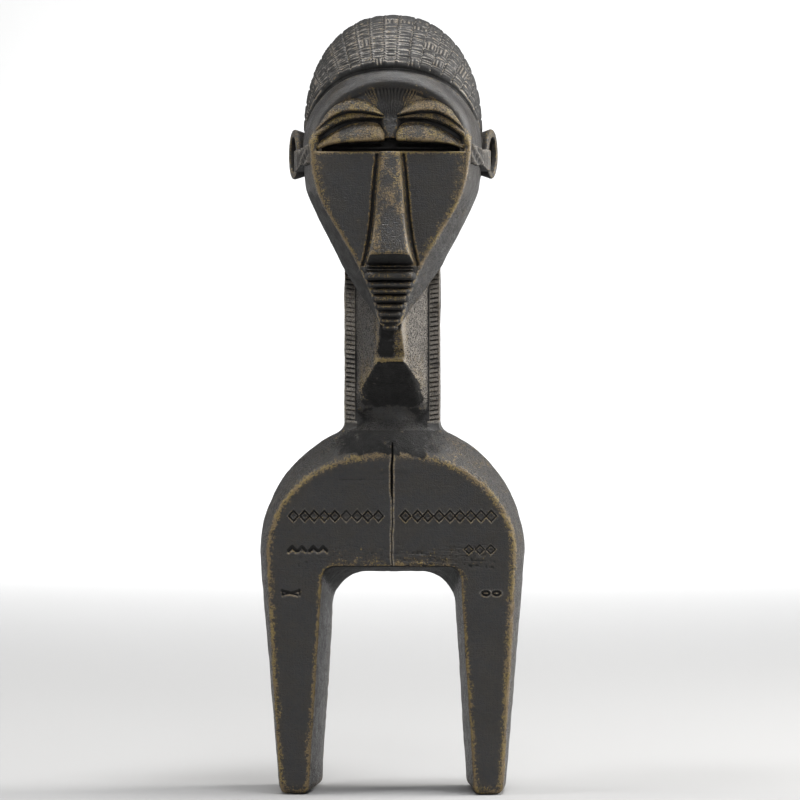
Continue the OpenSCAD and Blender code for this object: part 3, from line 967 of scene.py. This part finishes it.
def neck_foot(shape):
    """Ragged dark zone with flecks round the neck's foot, partly painted shadow under the neck and partly
    dark crust, and the pale line down the right rim.
    """
    p = shape.verts
    x, y, z = p.T
    frayed = 1.6 * noise(p, 3.0, 92) + 0.7 * noise(p, 1.0, 93)
    # Dark zone round the neck's foot: partly painted shadow under the neck, partly dark crust.
    soot_and_shade = step(85.6, 87.6, z + frayed) * step(95, 93, z) * step(15, 8, abs(x + 1.5) + frayed)
    soot_and_shade = soot_and_shade * step(-6, -8, y)
    ragged = 1 + 0.6 * noise(p, 1.8, 52) + 0.8 * noise(p, 0.8, 53)
    flecks = unit(noise(p, 0.9, 81) + 0.5 * noise(p, 2.4, 82) - 0.25)
    line = right_band(x, y + 1.5, z, fork_inset(x, z) - 0.25, 0.34)
    shape.add(sunk=1.05 * soot_and_shade * ragged, rub=1.1 * soot_and_shade * flecks, pale=0.7 * line)


def fork_pebble(p, n):
    x, y, z = p.T
    base = step(86.5, 89, z) * step(15, 10, abs(x)) * step(-3, -6, y)
    return unit(0.12 + base + 0.6 * step(0.85, 0.5, abs(n[:, 1])))


def right_band(x, y, z, off, wide):
    """The smoother worn band down the right rim of the fork's front."""
    return bump(off, wide) * step(-12.0, -13.0, y) * step(4, 16, x) * step(0, 6, z) * step(90, 84, z)


def fork_rub(p, n):
    """Worn places of the fork: the front's rim, the gap's edge, the soles and the flanks."""
    x, y, z = p.T
    inset = fork_inset(x, z)
    patchy = 0.80 + 0.35 * noise(p, 7.0, 41) + 0.55 * noise(p, 1.1, 43)
    near = bump(inset + 0.35, 0.36) + 0.30 * bump(inset + 0.8, 1.1)
    rim = near * step(-11.0, -12.6, y) * step(91.5, 88.5, z)
    inner = 1.15 * bump(gap(x, y, z) - 0.3, 0.45) * step(-11.0, -12.6, y)
    inner = inner + 0.5 * bump(z - GAP_CROWN_Z - 3.2, 1.8) * step(17, 14, abs(x)) * step(-12.4, -13.2, y)
    stipple = 0.9 * unit(noise(p, 0.55, 23)) * step(58.5, 60, z) * step(63.8, 62.6, z)
    golden = 0.5 * stipple * step(1, 4, abs(x)) * step(19, 14, abs(x)) * step(-12.4, -13.2, y)
    crown = 0.5 * bump(inset + 0.9, 1.0) * step(-12.2, -13.2, y) * bump(x + 9, 9) * step(84, 86, z)
    golden = golden + crown
    golden = golden + right_band(x, y, z, inset + 0.85, 0.75) * (0.30 + 0.25 * noise(p, 5.0, 96))
    soles = step(4, 0, z) * 0.3
    low_inner = bump(gap(x, y, z) - 0.9, 1.0) * step(-12.0, -13.0, y) * step(34, 22, z) * step(2, 6, z)
    patches = unit(0.2 + 1.2 * noise(p * [1, 1, 0.5], 3.2, 95))
    low_inner = low_inner * patches * np.where(x > 0, 0.9, 0.4)
    along = 0.6 * noise(p * [0.9, 0.9, 0.12], 1.3, 76)
    streaks = unit(0.5 + along + 0.5 * noise(p * [1, 1, 0.4], 0.8, 77))
    flank = step(0.93, 0.8, abs(n[:, 1])) * step(0, 6, z) * np.where(x > 0, 0.30, 0.22) * streaks
    return unit((rim + 0.7 * inner) * patchy + golden + soles + flank + low_inner)


def neck_shape():
    """Post, strut and combs in one, with painted shade under the strut and below the chin, pale sides with
    a painted highlight on the right one, and a wavy split.
    """
    cell = 0.3
    shape = carved(body, (-14.5, -20, 91), (14.5, 12.5, 143), cell)
    shape.push(lambda p, n: neck_pebble(p, n) * (0.05 * noise(p, 0.75, 5) - 0.03))
    shape.weather(cell, {"pebble": neck_pebble, "rub": neck_rub})
    p = shape.verts
    x, y, z = p.T
    n = shape.normals()
    # Pale sides, with a painted highlight on the right side, which faces the key light.
    aside = beside_neck(z, n) * step(-COMB_DEPTH_HALF, -COMB_DEPTH_HALF - 1, y)
    shape.add(pale=aside * np.where(x > 0, 0.90, 0.16) * (1 + 0.4 * noise(p, 1.4, 79)))
    # Painted shade on the faces that look down under the strut.
    under = step(0.05, 0.42, -n[:, 2]) * step(10.0, 6.0, abs(x)) * step(-5, -7, y) * step(95.0, 99, z)
    ragged = 1 + 0.35 * noise(p, 1.8, 52) + 0.45 * noise(p, 0.6, 53)
    frayed = step(0.10, 1.05, under + 0.28 * noise(p, 2.2, 84) + 0.40 * noise(p, 0.7, 85))
    shape.add(sunk=1.25 * frayed * np.minimum(1, 2 * under) * ragged)
    shape.marks["pebble"] = np.maximum(shape.marks["pebble"], under)
    chin_shade = step(117.5, 119.0, z + 0.25 * abs(x)) * step(0.5, 0.8, -n[:, 1]) * step(-16, -17, y)
    wavy = x + 0.5 * noise(p, 1.6, 86) + 0.4 * noise(p, 0.6, 87)
    left_dark = step(111.5, 113.0, z) * step(0.8, -0.4, wavy) * step(-14.5, -16, y)
    right_half = step(0.0, 1.4, wavy) * step(-15.5, -16.5, y) * step(110.5, 112, z) * step(120.5, 118.0, z)
    shape.add(sunk=0.8 * chin_shade)
    shape.add(sunk=0.30 * left_dark)
    shape.marks["sunk"] = shape.marks["sunk"] * (1 - 0.85 * right_half)
    return shape


def beside_neck(z, n):
    """The neck's sides, which turn away from the front."""
    return step(0.92, 0.75, -n[:, 1]) * step(97, 101, z)


def neck_pebble(p, n):
    return unit(0.35 + 0.65 * (step(0.95, 0.7, -n[:, 1]) * step(-17.2, -15.5, p[:, 1])))


def neck_rub(p, n):
    """Worn places of the neck: the prow's edge, its right side and the hollows beside it."""
    x, y, z = p.T
    ax = abs(x)
    prow = bump(ax - PROW_HALF, 0.6) * step(-13.5, -15.5, y)
    edge = bump(z - 110.7, 0.75) * step(-15.0, -16.2, y)
    right = 0.78 * step(0.2, 1.6, x) * step(-14.5, -16, y) * step(110.5, 112, z)
    spill = 1.05 * bump(ax - 6.5, 2.6) * bump(z - 104.5, 6.0) * step(-6.5, -8.5, y)
    spill = spill * (1 + 1.2 * noise(p, 1.5, 78))
    flank = beside_neck(z, n) * np.where(x > 0, 0.14, 0.12) * (1 + 0.7 * noise(p, 1.4, 72))
    return unit(0.75 * prow + 0.95 * edge + right + spill + flank)


def comb_shape(side):
    """One notched strip, with a painted highlight where its teeth face the front, stronger on the right
    strip.
    """
    cell = 0.2
    verts, faces = surface(*mirrored(side, comb, (8.3, -7.2, 90.5), (14.4, 7.2, 141)), cell)
    shape = Shape(verts, faces)
    shape.push(hand_work)
    shape.weather(cell)
    y, z = shape.verts[:, 1], shape.verts[:, 2]
    ahead = step(0.3, 0.7, -normals_of(verts, faces)[:, 1])
    face = step(-COMB_DEPTH_HALF + 0.5, -COMB_DEPTH_HALF + 0.3, y) * ahead
    toothed = face * (1 + 0.8 * noise(shape.verts, 2.2, 61)) * step(94.6, 95.4, z)
    shape.marks["proud"] *= 0.35
    shape.marks["sunk"] *= 0.55
    # Painted highlight on the teeth's fronts, with a little wear.
    shape.add(rub=0.20 * toothed, pale=(1.5 if side > 0 else 0.95) * toothed)
    return shape


def head_back_shape():
    cell = 0.42
    shape = carved(lambda x, y, z: head(x, y, z, 0 * x), (-25, -19, 112), (25, 31, 202), cell)
    shape.weather(cell, {"pebble": head_pebble, "rub": head_rub})
    jaw_shade_and_streaks(shape)
    return shape


def jaw_side(p, n):
    """Where the sides of the jaw turn back from the face."""
    return step(157, 148, p[:, 2]) * step(0.85, 0.6, -n[:, 1]) * step(-21.6, -20.6, p[:, 1])


def jaw_shade_and_streaks(shape):
    """Painted shade on the left side of the jaw, and darker streaks down both sides."""
    p = shape.verts
    share = step(3, -3, p[:, 0]) * 1.15 + 0.24
    streaks = noise(jaw_run(p, 0.3, 0.2, 1.5), 1.3, 80)
    shape.add(sunk=jaw_side(p, shape.normals()) * share * (1 + 0.8 * streaks))


def jaw_run(p, along, deep, across):
    """Places stretched down the slope of the jaw, for streaks."""
    x, y, z = p.T
    return np.stack([along * (abs(x) - 0.9 * z), deep * y, across * (abs(x) + 0.55 * z)], axis=1)


def head_pebble(p, n):
    return 0.25 * step(150, 135, p[:, 2]) + 0.15 + 0.6 * jaw_side(p, n)


def head_rub(p, n):
    """Worn places of the head: the outline of the face, and streaks down the jaw."""
    x, y, z = p.T
    patchy = 0.85 + 0.35 * noise(p, 6.0, 42)
    frayed = np.clip(0.15 + 0.9 * noise(p, 1.3, 90) + 0.6 * noise(p, 4.0, 91), 0, 0.6)
    outline = face_outline(x, z)
    edge = bump(outline + 0.3, 0.28) + frayed * bump(outline + 1.2, 1.2)
    edge = edge * step(-20.3, -21.4, y) * step(171.5, 169.5, z)
    jaw = step(155, 148, z) * step(-20.5, -18.5, y) * step(0.8, 0.6, -n[:, 1])
    jaw = jaw * unit(0.2 + noise(jaw_run(p, 0.35, 0.25, 1.6), 1.6, 73)) * np.where(x > 0, 0.36, 0.24)
    return unit(0.9 * edge * patchy + jaw)


def head_front_shape():
    """Finer mesh of the head's front, with painted shade in the eye slit, and quiet at the field's edges.
    """
    cell = 0.25
    shape = carved(head_front, (-24, -24.5, 114), (24, -16, 189), cell)
    shape.weather(cell, {"pebble": lambda p, n: 0.1 + 0.6 * jaw_side(p, n), "rub": front_rub})
    jaw_shade_and_streaks(shape)
    x, y, z = shape.verts.T
    # Painted shade in the eye slit, heavier at its top under the lids and along its bottom line.
    deep = (y > FACE_Y + 1.2) & (z > SLIT_Z - 0.5) & (z < 167.6) & (abs(x) < SLIT_HALF + 0.4)
    slit_shade = 0.75 + 0.6 * step(SLIT_Z + 1.2, SLIT_Z + 2.0, z) + 0.6 * bump(z - SLIT_Z - 0.3, 0.35)
    shape.marks["sunk"] = np.where(deep, slit_shade, shape.marks["sunk"])
    at_ledge = bump(ellipse(abs(x), z, RIM_INNER_W, RIM_INNER_RISE), 1.6) * step(168, 171, z)
    in_funnel = step(8, 6, abs(x)) * step(172, 174, z)
    shape.marks["proud"] *= 1 - 0.75 * np.maximum(at_ledge, in_funnel)
    return shape


def front_rub(p, n):
    """Worn places of the face and the brow field, over those of the head."""
    x, y, z = p.T
    ax = abs(x)
    beside_nose = 0.25 * bump(ax - curve(z, NOSE_HALF) - 0.9, 0.3)
    beside_nose = beside_nose * step(SLIT_Z, SLIT_Z - 2, z) * step(135, 138, z)
    ledge = 0.6 * bump(z - SLIT_Z + 0.2, 0.4) * step(SLIT_HALF, SLIT_HALF - 1, ax)
    ledge = ledge * step(FACE_Y + 1, FACE_Y + 0.3, y)
    temple = (0.34 + 0.3 * noise(p * [1, 1, 0.5], 1.2, 75)) * bump(ax - curve(z, FACE_HALF) + 1.6, 1.8)
    temple = temple * step(150, 161, z) * step(SLIT_Z + 0.5, SLIT_Z, z)
    inner = ellipse(ax, z, RIM_INNER_W, RIM_INNER_RISE)
    above = step(0.5, -0.8, inner) * step(173.5, 176.5, z) * step(2.2, 5.0, ax)
    above = above * np.clip(0.50 + 0.9 * noise(p, 2.2, 74) + 0.5 * noise(p, 0.8, 94), 0, 0.85)
    flecks = np.clip(noise(p * [1, 1, 0.7], 0.9, 88) + 0.6 * noise(p, 3.5, 89) - 0.55, 0, 0.5)
    flecks = flecks * step(FACE_Y + 0.6, FACE_Y + 0.3, y)
    return unit(head_rub(p, n) + beside_nose + ledge + temple + above + 0.9 * flecks)


def small_rub(p):
    """Share of the wear that reaches a place: little of it low on the nose's front."""
    x, y, z = p.T
    nose_front = step(-24.0, -25.0, y) * step(3.6, 2.6, abs(x - 0.8)) * step(150.5, 146.5, z)
    return 1 - 0.75 * (nose_front * step(136.5, 139.0, z))


def small_shape(field, lo, hi, cell, rub, edges=1.0, soot_and_shade=0.9):
    shape = Shape(*surface(field, lo, hi, cell))
    shape.push(lambda p, n: 0.13 * noise(p, 8.0, 1) + 0.03 * noise(p, 2.0, 2) + 0.012 * noise(p, 0.7, 3))
    shape.weather(cell, {"rub": lambda p, n: unit(rub * small_rub(p) * (1 + 1.1 * noise(p, 2.4, 51)))})
    n = shape.normals()
    z = shape.verts[:, 2]
    # Painted shade on the faces that look down.
    shape.add(sunk=soot_and_shade * step(0.25, 0.8, -n[:, 2]))
    # Painted shade on the ends of the mouth's bars.
    bar_end_shade = step(0.45, 0.8, abs(n[:, 0])) * step(134.5, 133.5, z)
    shape.add(sunk=0.8 * bar_end_shade)
    shape.marks["proud"] *= edges
    shape.marks["pebble"] = 0.45 * step(166.0, 168.0, z) + 0.12
    return shape


# --- Finishes ---
class Nodes:
    """Short way to build one material's node tree."""

    def __init__(self, name):
        mat = bpy.data.materials.new(name)
        mat.use_nodes = True
        self.tree = mat.node_tree
        self.tree.nodes.clear()
        self.shader = self.tree.nodes.new("ShaderNodeBsdfPrincipled")
        self.place = self.node("TexCoord", {}, "Object")
        self.node("OutputMaterial", {"Surface": self.shader.outputs[0]}, None)

    def node(self, kind, inputs, output=0, **settings):
        """Add a node with its inputs and settings, and return one of its outputs."""
        node = self.tree.nodes.new("ShaderNode" + kind)
        for name, value in settings.items():
            setattr(node, name, value)
        for key, value in inputs.items():
            self.put(node.inputs[key], value)
        return None if output is None else node.outputs[output]

    def put(self, socket, value):
        if hasattr(value, "is_output"):
            self.tree.links.new(value, socket)
        else:
            socket.default_value = value

    def mark(self, name):
        return self.node("Attribute", {}, "Fac", attribute_name=name)

    def add(self, a, b, clamp=False):
        return self.node("Math", {0: a, 1: b}, operation="ADD", use_clamp=clamp)

    def mul(self, a, b, clamp=False):
        return self.node("Math", {0: a, 1: b}, operation="MULTIPLY", use_clamp=clamp)

    def grain(self, size_mm, detail=3.0, stretch=(1, 1, 1), roughness=0.55, warp=0.0):
        scale = [k / (size_mm * MM) for k in stretch]
        place = self.node("Mapping", {"Vector": self.place, "Scale": scale})
        inputs = {"Vector": place, "Scale": 1.0, "Detail": detail,
                  "Roughness": roughness, "Distortion": warp}
        return self.node("TexNoise", inputs, "Fac")

    def spread(self, value, lo, hi, out_lo=0.0, out_hi=1.0):
        inputs = dict(enumerate((value, lo, hi, out_lo, out_hi)))
        return self.node("MapRange", inputs, interpolation_type="SMOOTHSTEP")

    def blend(self, share, a, b):
        a, b = ((*v, 1.0) if isinstance(v, tuple) else v for v in (a, b))
        return self.node("Mix", {"Factor": share, 6: a, 7: b}, 2, data_type="RGBA")

    def bump(self, height, depth_mm, strength, under=None):
        inputs = {"Height": height, "Distance": depth_mm * MM, "Strength": strength}
        if under is not None:
            inputs["Normal"] = under
        return self.node("Bump", inputs)


# Darkest colour, for the crust and for painted shade.
SOOT_AND_SHADE = (0.0022, 0.0019, 0.0016)
DARK_COOL = (0.0150, 0.0152, 0.0160)
DARK_WARM = (0.0175, 0.0158, 0.0135)
WORN_BROWN = (0.0590, 0.0420, 0.0235)
WORN_OCHRE = (0.1780, 0.1230, 0.0520)
WORN_GOLD = (0.2150, 0.1520, 0.0450)
# Pale colour, for pale wear and for painted highlights.
PALE_WEAR_AND_HIGHLIGHT = (0.2350, 0.2120, 0.1820)


def wood(name, wear, brown, gloss):
    """Blackened, handled hardwood: dark crust, with painted shade mixed into it, brown where thin, ochre
    where edges are rubbed through, and a pale tone for pale wear and painted highlights.
    """
    w = Nodes(name)
    proud, sunk, pebble, rub, pale = (w.mark(mark) for mark in MARKS)
    blotch = w.grain(1.05, 6.0, roughness=0.72)
    specks = w.grain(0.36, 3.0, roughness=0.7)
    dimples = w.grain(0.34, 2.0, roughness=0.6)
    base = w.blend(w.spread(w.grain(7.0, 4.0), 0.40, 0.62), DARK_COOL, DARK_WARM)
    handled = w.add(w.mul(rub, 1.3), w.mul(proud, 0.30))
    thin = w.mul(w.spread(blotch, 0.38, 0.62), w.add(handled, brown), clamp=True)
    base = w.blend(thin, base, WORN_BROWN)
    edge = w.add(w.mul(proud, 0.62 * wear), w.mul(rub, 0.72 * wear))
    broken = w.add(w.spread(blotch, 0.32, 0.68, -0.36, 0.36), w.spread(specks, 0.34, 0.66, -0.48, 0.48))
    bare = w.spread(w.add(edge, w.mul(broken, w.spread(edge, 0.0, 0.3))), 0.40, 0.95)
    ochre = w.blend(w.spread(w.grain(4.0, 2.0), 0.45, 0.6), WORN_OCHRE, WORN_GOLD)
    ochre = w.blend(w.spread(specks, 0.62, 0.36, 0.0, 0.55), ochre, WORN_BROWN)
    base = w.blend(bare, base, ochre)
    # Share of the pale colour: pale wear, and painted highlights from the pale mark.
    pale_wear_and_highlight = w.mul(pale, w.spread(w.grain(0.30, 2.0, roughness=0.6), 0.30, 0.62), clamp=True)
    base = w.blend(pale_wear_and_highlight, base, PALE_WEAR_AND_HIGHLIGHT)
    pits = w.mul(w.spread(dimples, 0.52, 0.40), pebble)
    # The crust share: real hollows and pits, together with the painted shade held in the sunken mark.
    hollow = w.add(sunk, w.mul(pits, 0.80))
    crust = w.spread(w.add(hollow, w.mul(specks, 0.25)), 0.25, 0.85)
    w.put(w.shader.inputs["Base Color"], w.blend(crust, base, SOOT_AND_SHADE))
    rough = w.spread(w.grain(2.6, 4.0), 0.3, 0.7, gloss - 0.07, gloss + 0.10)
    rough = w.add(rough, w.mul(crust, 0.38))
    w.put(w.shader.inputs["Roughness"], w.add(rough, w.mul(bare, 0.05), clamp=True))
    w.shader.inputs["IOR"].default_value = 1.5
    w.put(w.shader.inputs["Normal"], wood_relief(w, blotch, specks, dimples, pebble))


def wood_relief(w, blotch, specks, dimples, pebble):
    """Grain, scrapes, blotches, dimples and specks, one over the other."""
    relief = w.bump(w.grain(0.5, 3.0, stretch=(1.0, 1.0, 0.10), warp=0.3), 0.10, 0.9)
    relief = w.bump(w.grain(0.34, 2.0, stretch=(0.14, 0.6, 1.0), warp=0.4), 0.10, 0.9, relief)
    relief = w.bump(blotch, 0.14, 0.6, relief)
    skin = w.mul(dimples, w.add(w.mul(pebble, 0.9), 0.12))
    relief = w.bump(skin, 0.50, 1.0, relief)
    return w.bump(specks, 0.13, 1.0, relief)


def patina_wood():
    wood("wood_patina", 1.0, 0.12, 0.38)


def worn_wood():
    wood("wood_worn", 1.05, 0.12, 0.43)


def hair_wood():
    wood("wood_hair", 0.70, 0.30, 0.31)


# --- Pieces ---
RIGHT, BACK, UP = (1, 0, 0), (0, 1, 0), (0, 0, 1)
LEFT, AHEAD, DOWN = (-1, 0, 0), (0, -1, 0), (0, 0, -1)


def build_fork():
    shape = fork_shape()
    shape.verts[:, 2] = np.maximum(shape.verts[:, 2], 0.0)
    whole = to_mesh("fork_block", shape)
    arch = cut(whole, "shoulder_arch", [((0, 0, LEG_TOP), DOWN), ((0, 0, NECK_BASE_Z), UP)])
    piece(arch, "patina", "shoulder_arch")
    for name, away in (("left_leg", RIGHT), ("right_leg", LEFT)):
        leg = cut(whole, name, [((0, 0, LEG_TOP), UP), ((0, 0, 0), away)])
        piece(leg, "patina", name)


def build_neck():
    whole = to_mesh("neck_block", neck_shape())
    post = cut(whole, "neck_post", [
        ((0, 0, NECK_BASE_Z), DOWN), ((0, 0, POST_HIGH_Z), UP), ((0, STRUT_BACK, 0), AHEAD),
        ((-POST_HALF, 0, 0), LEFT), ((POST_HALF, 0, 0), RIGHT)])
    piece(post, "patina", "neck_post")
    strut = cut(whole, "chin_strut", [
        ((0, 0, STRUT_LOW_Z), DOWN), ((0, 0, STRUT_HIGH_Z), UP), ((0, STRUT_BACK, 0), BACK)])
    piece(strut, "worn", "chin_strut")
    for name, side in (("left_neck_comb", -1), ("right_neck_comb", 1)):
        ends = [((0, 0, NECK_BASE_Z), DOWN), ((0, 0, COMB_HIGH_Z), UP)]
        piece(cut(to_mesh(name, comb_shape(side)), name, ends), "patina", name)


def build_head():
    tilt = (0, math.sin(HAIR_PLANE_TILT), math.cos(HAIR_PLANE_TILT))
    back = to_mesh("head_back", head_back_shape())
    core = cut(back, "head_core", [((0, CORE_Y, 0), AHEAD), ((0, 0, HAIR_PLANE_Z), tilt)])
    piece(core, "patina", "head_core")
    front = to_mesh("head_front", head_front_shape())
    plate = cut(front, "face_plate", [((0, CORE_Y, 0), BACK), ((0, 0, SLIT_Z), UP)])
    piece(plate, "patina", "face_plate")
    brow_field = cut(front, "forehead", [((0, CORE_Y, 0), BACK), ((0, 0, SLIT_Z), DOWN)])
    piece(brow_field, "patina", "forehead", "forehead_band")


def build_features():
    """Nose, mouth, beard, lids and brows: slot, field, box, cell, wear, edges and painted shade underneath.
    """
    eye = eyelid, (0, -23.2, 162.4), (20, -16.2, 172.0)
    arch = brow, (0, -23.5, 166.0), (20.5, -17.8, 179.2)
    parts = (
        ("nose", "worn", nose, (-8.5, -30.2, 132.6), (8.5, -19.8, 165), 0.2, 0.44, 0.7, 0.9),
        ("lips", "patina", bars(LIP_BARS), (-8.5, -26.4, 128.2), (8.5, -20.0, 136), 0.16, 0.10, 0.3, 0.7),
        ("beard_ridges", "worn", bars(BEARD_BARS), (-7.0, -25.6, 117.4), (7.0, -20.0, 129.7),
         0.16, 0.22, 0.3, 0.7),
        ("left_eyelid", "worn", *mirrored(-1, *eye), 0.2, 0.70, 0.6, 0.25),
        ("right_eyelid", "worn", *mirrored(1, *eye), 0.2, 0.56, 0.6, 0.35),
        ("left_brow", "worn", *mirrored(-1, *arch), 0.2, 0.58, 0.6, 0.5),
        ("right_brow", "worn", *mirrored(1, *arch), 0.2, 0.58, 0.6, 0.5),
    )
    for name, slot, *how in parts:
        piece(to_mesh(name, small_shape(*how)), slot, name)


def build_ears():
    for name, side in (("left_ear", -1), ("right_ear", 1)):
        field_in_box = mirrored(side, ear, (17.5, -21.8, 156.5), (28.8, 6.8, 172.2))
        shape = small_shape(*field_in_box, 0.22, 0.05)
        shape.marks["proud"] *= 0.55
        x, y, z = shape.verts.T
        along, out = ear_axes(abs(x), y)
        inside = np.hypot(along / EAR_HOLLOW_Y, (z - EAR_FACE[2]) / EAR_HOLLOW_Z) < 1.02
        ridged = np.maximum(step(-5, -7, y), inside * step(-0.8, -1.4, out))
        # Painted shade deep in the ring's hollow, the arm darker, and painted highlights on the ridges of
        # the arm and the hollow.
        shape.add(sunk=1.2 * inside * step(-0.8, -2.0, out) + 0.40 * step(-5, -7, y),
                  pale=2.0 * shape.marks["proud"] * ridged)
        piece(to_mesh(name, shape), "patina", name)


def build_hair():
    piece(hair(), "hair", "coiffure")


# --- Stage ---
CAMERA_TURN = math.radians(1.6)
CAMERA_FAR = 1.0
LENS_MM = 174.0
SENSOR_MM = 36.0
AIM = Vector((0.00186, 0.0, 0.1008))
PAPER = 0.34


def paper(name, half, line, shade):
    """Sheet of pale paper: a line in Y and Z drawn out to both sides."""
    verts = [(x, y, z) for y, z in line for x in (-half, half)]
    faces = [(2 * i, 2 * i + 1, 2 * i + 3, 2 * i + 2) for i in range(len(line) - 1)]
    mesh = bpy.data.meshes.new(name)
    mesh.from_pydata(verts, [], faces)
    mesh.polygons.foreach_set("use_smooth", [True] * len(faces))
    obj = stand(name, mesh)
    mat = bpy.data.materials.new(name)
    mat.use_nodes = True
    shader = mat.node_tree.nodes["Principled BSDF"]
    shader.inputs["Base Color"].default_value = (shade, shade, shade, 1)
    shader.inputs["Roughness"].default_value = 0.9
    mesh.materials.append(mat)


def backdrop():
    """Pale floor, and a narrow sweep behind that leaves the sides to the soft grey room."""
    foot, radius, tall = 1.6, 0.6, 1.5
    paper("floor", 3.5, [(-3.5, 0.0), (foot, 0.0)], PAPER)
    turns = [i / 16 * math.pi / 2 for i in range(17)]
    curve_up = [(foot + radius * math.sin(t), radius - radius * math.cos(t)) for t in turns]
    paper("backdrop", 0.5, curve_up + [(foot + radius, tall)], PAPER)


def aimed(obj, place, aim):
    """Put a lamp or the camera in its place and turn it towards its aim."""
    obj.location = place
    obj.rotation_euler = (Vector(aim) - Vector(place)).to_track_quat("-Z", "Y").to_euler()


def softbox(name, place, size, watts, aim=AIM, spread=180.0, colour=(1, 1, 1)):
    light = bpy.data.lights.new(name, "AREA")
    light.shape = "RECTANGLE"
    light.size, light.size_y = size
    light.energy = watts
    light.color = colour
    light.spread = math.radians(spread)
    aimed(stand(name, light), place, aim)


def studio():
    """Soft boxes to the right, left, front and top, with the floor lit from above."""
    backdrop()
    softbox("key_right", (0.61, 0.12, 0.25), (0.30, 0.7), 9.2, colour=(1.0, 0.98, 0.95))
    softbox("side_left", (-0.60, 0.14, 0.26), (0.20, 0.5), 2.0, colour=(1.0, 0.97, 0.93))
    softbox("front_fill", (0.15, -1.15, 0.75), (0.5, 0.25), 5.8)
    softbox("top", (0.16, -0.10, 0.85), (0.30, 0.16), 6.5)
    softbox("top_left", (-0.30, -0.12, 0.78), (0.16, 0.16), 2.2)
    softbox("floor_light", (0.0, 1.10, 1.5), (1.2, 0.8), 14.0, aim=(0.0, 1.25, 0.0), spread=80.0)
    softbox("backdrop_light", (0.0, 1.2, 1.6), (1.0, 0.4), 20.0, aim=(0.0, 2.2, 0.3), spread=90.0)
    world = bpy.data.worlds.new("studio_world")
    bpy.context.scene.world = world
    world.use_nodes = True
    room = world.node_tree.nodes["Background"].inputs
    room["Color"].default_value = (0.95, 0.96, 1.0, 1)
    room["Strength"].default_value = 0.17
    bpy.context.scene.view_settings.view_transform = "Standard"


def camera():
    data = bpy.data.cameras.new("camera")
    data.lens = LENS_MM
    data.sensor_width = SENSOR_MM
    obj = stand("camera", data)
    aimed(obj, AIM + CAMERA_FAR * Vector((math.sin(CAMERA_TURN), -math.cos(CAMERA_TURN), 0)), AIM)
    bpy.context.scene.camera = obj


def build():
    for make in (patina_wood, worn_wood, hair_wood):
        make()
    for make in (build_fork, build_neck, build_head, build_features, build_ears, build_hair):
        make()


build()
studio()
camera()
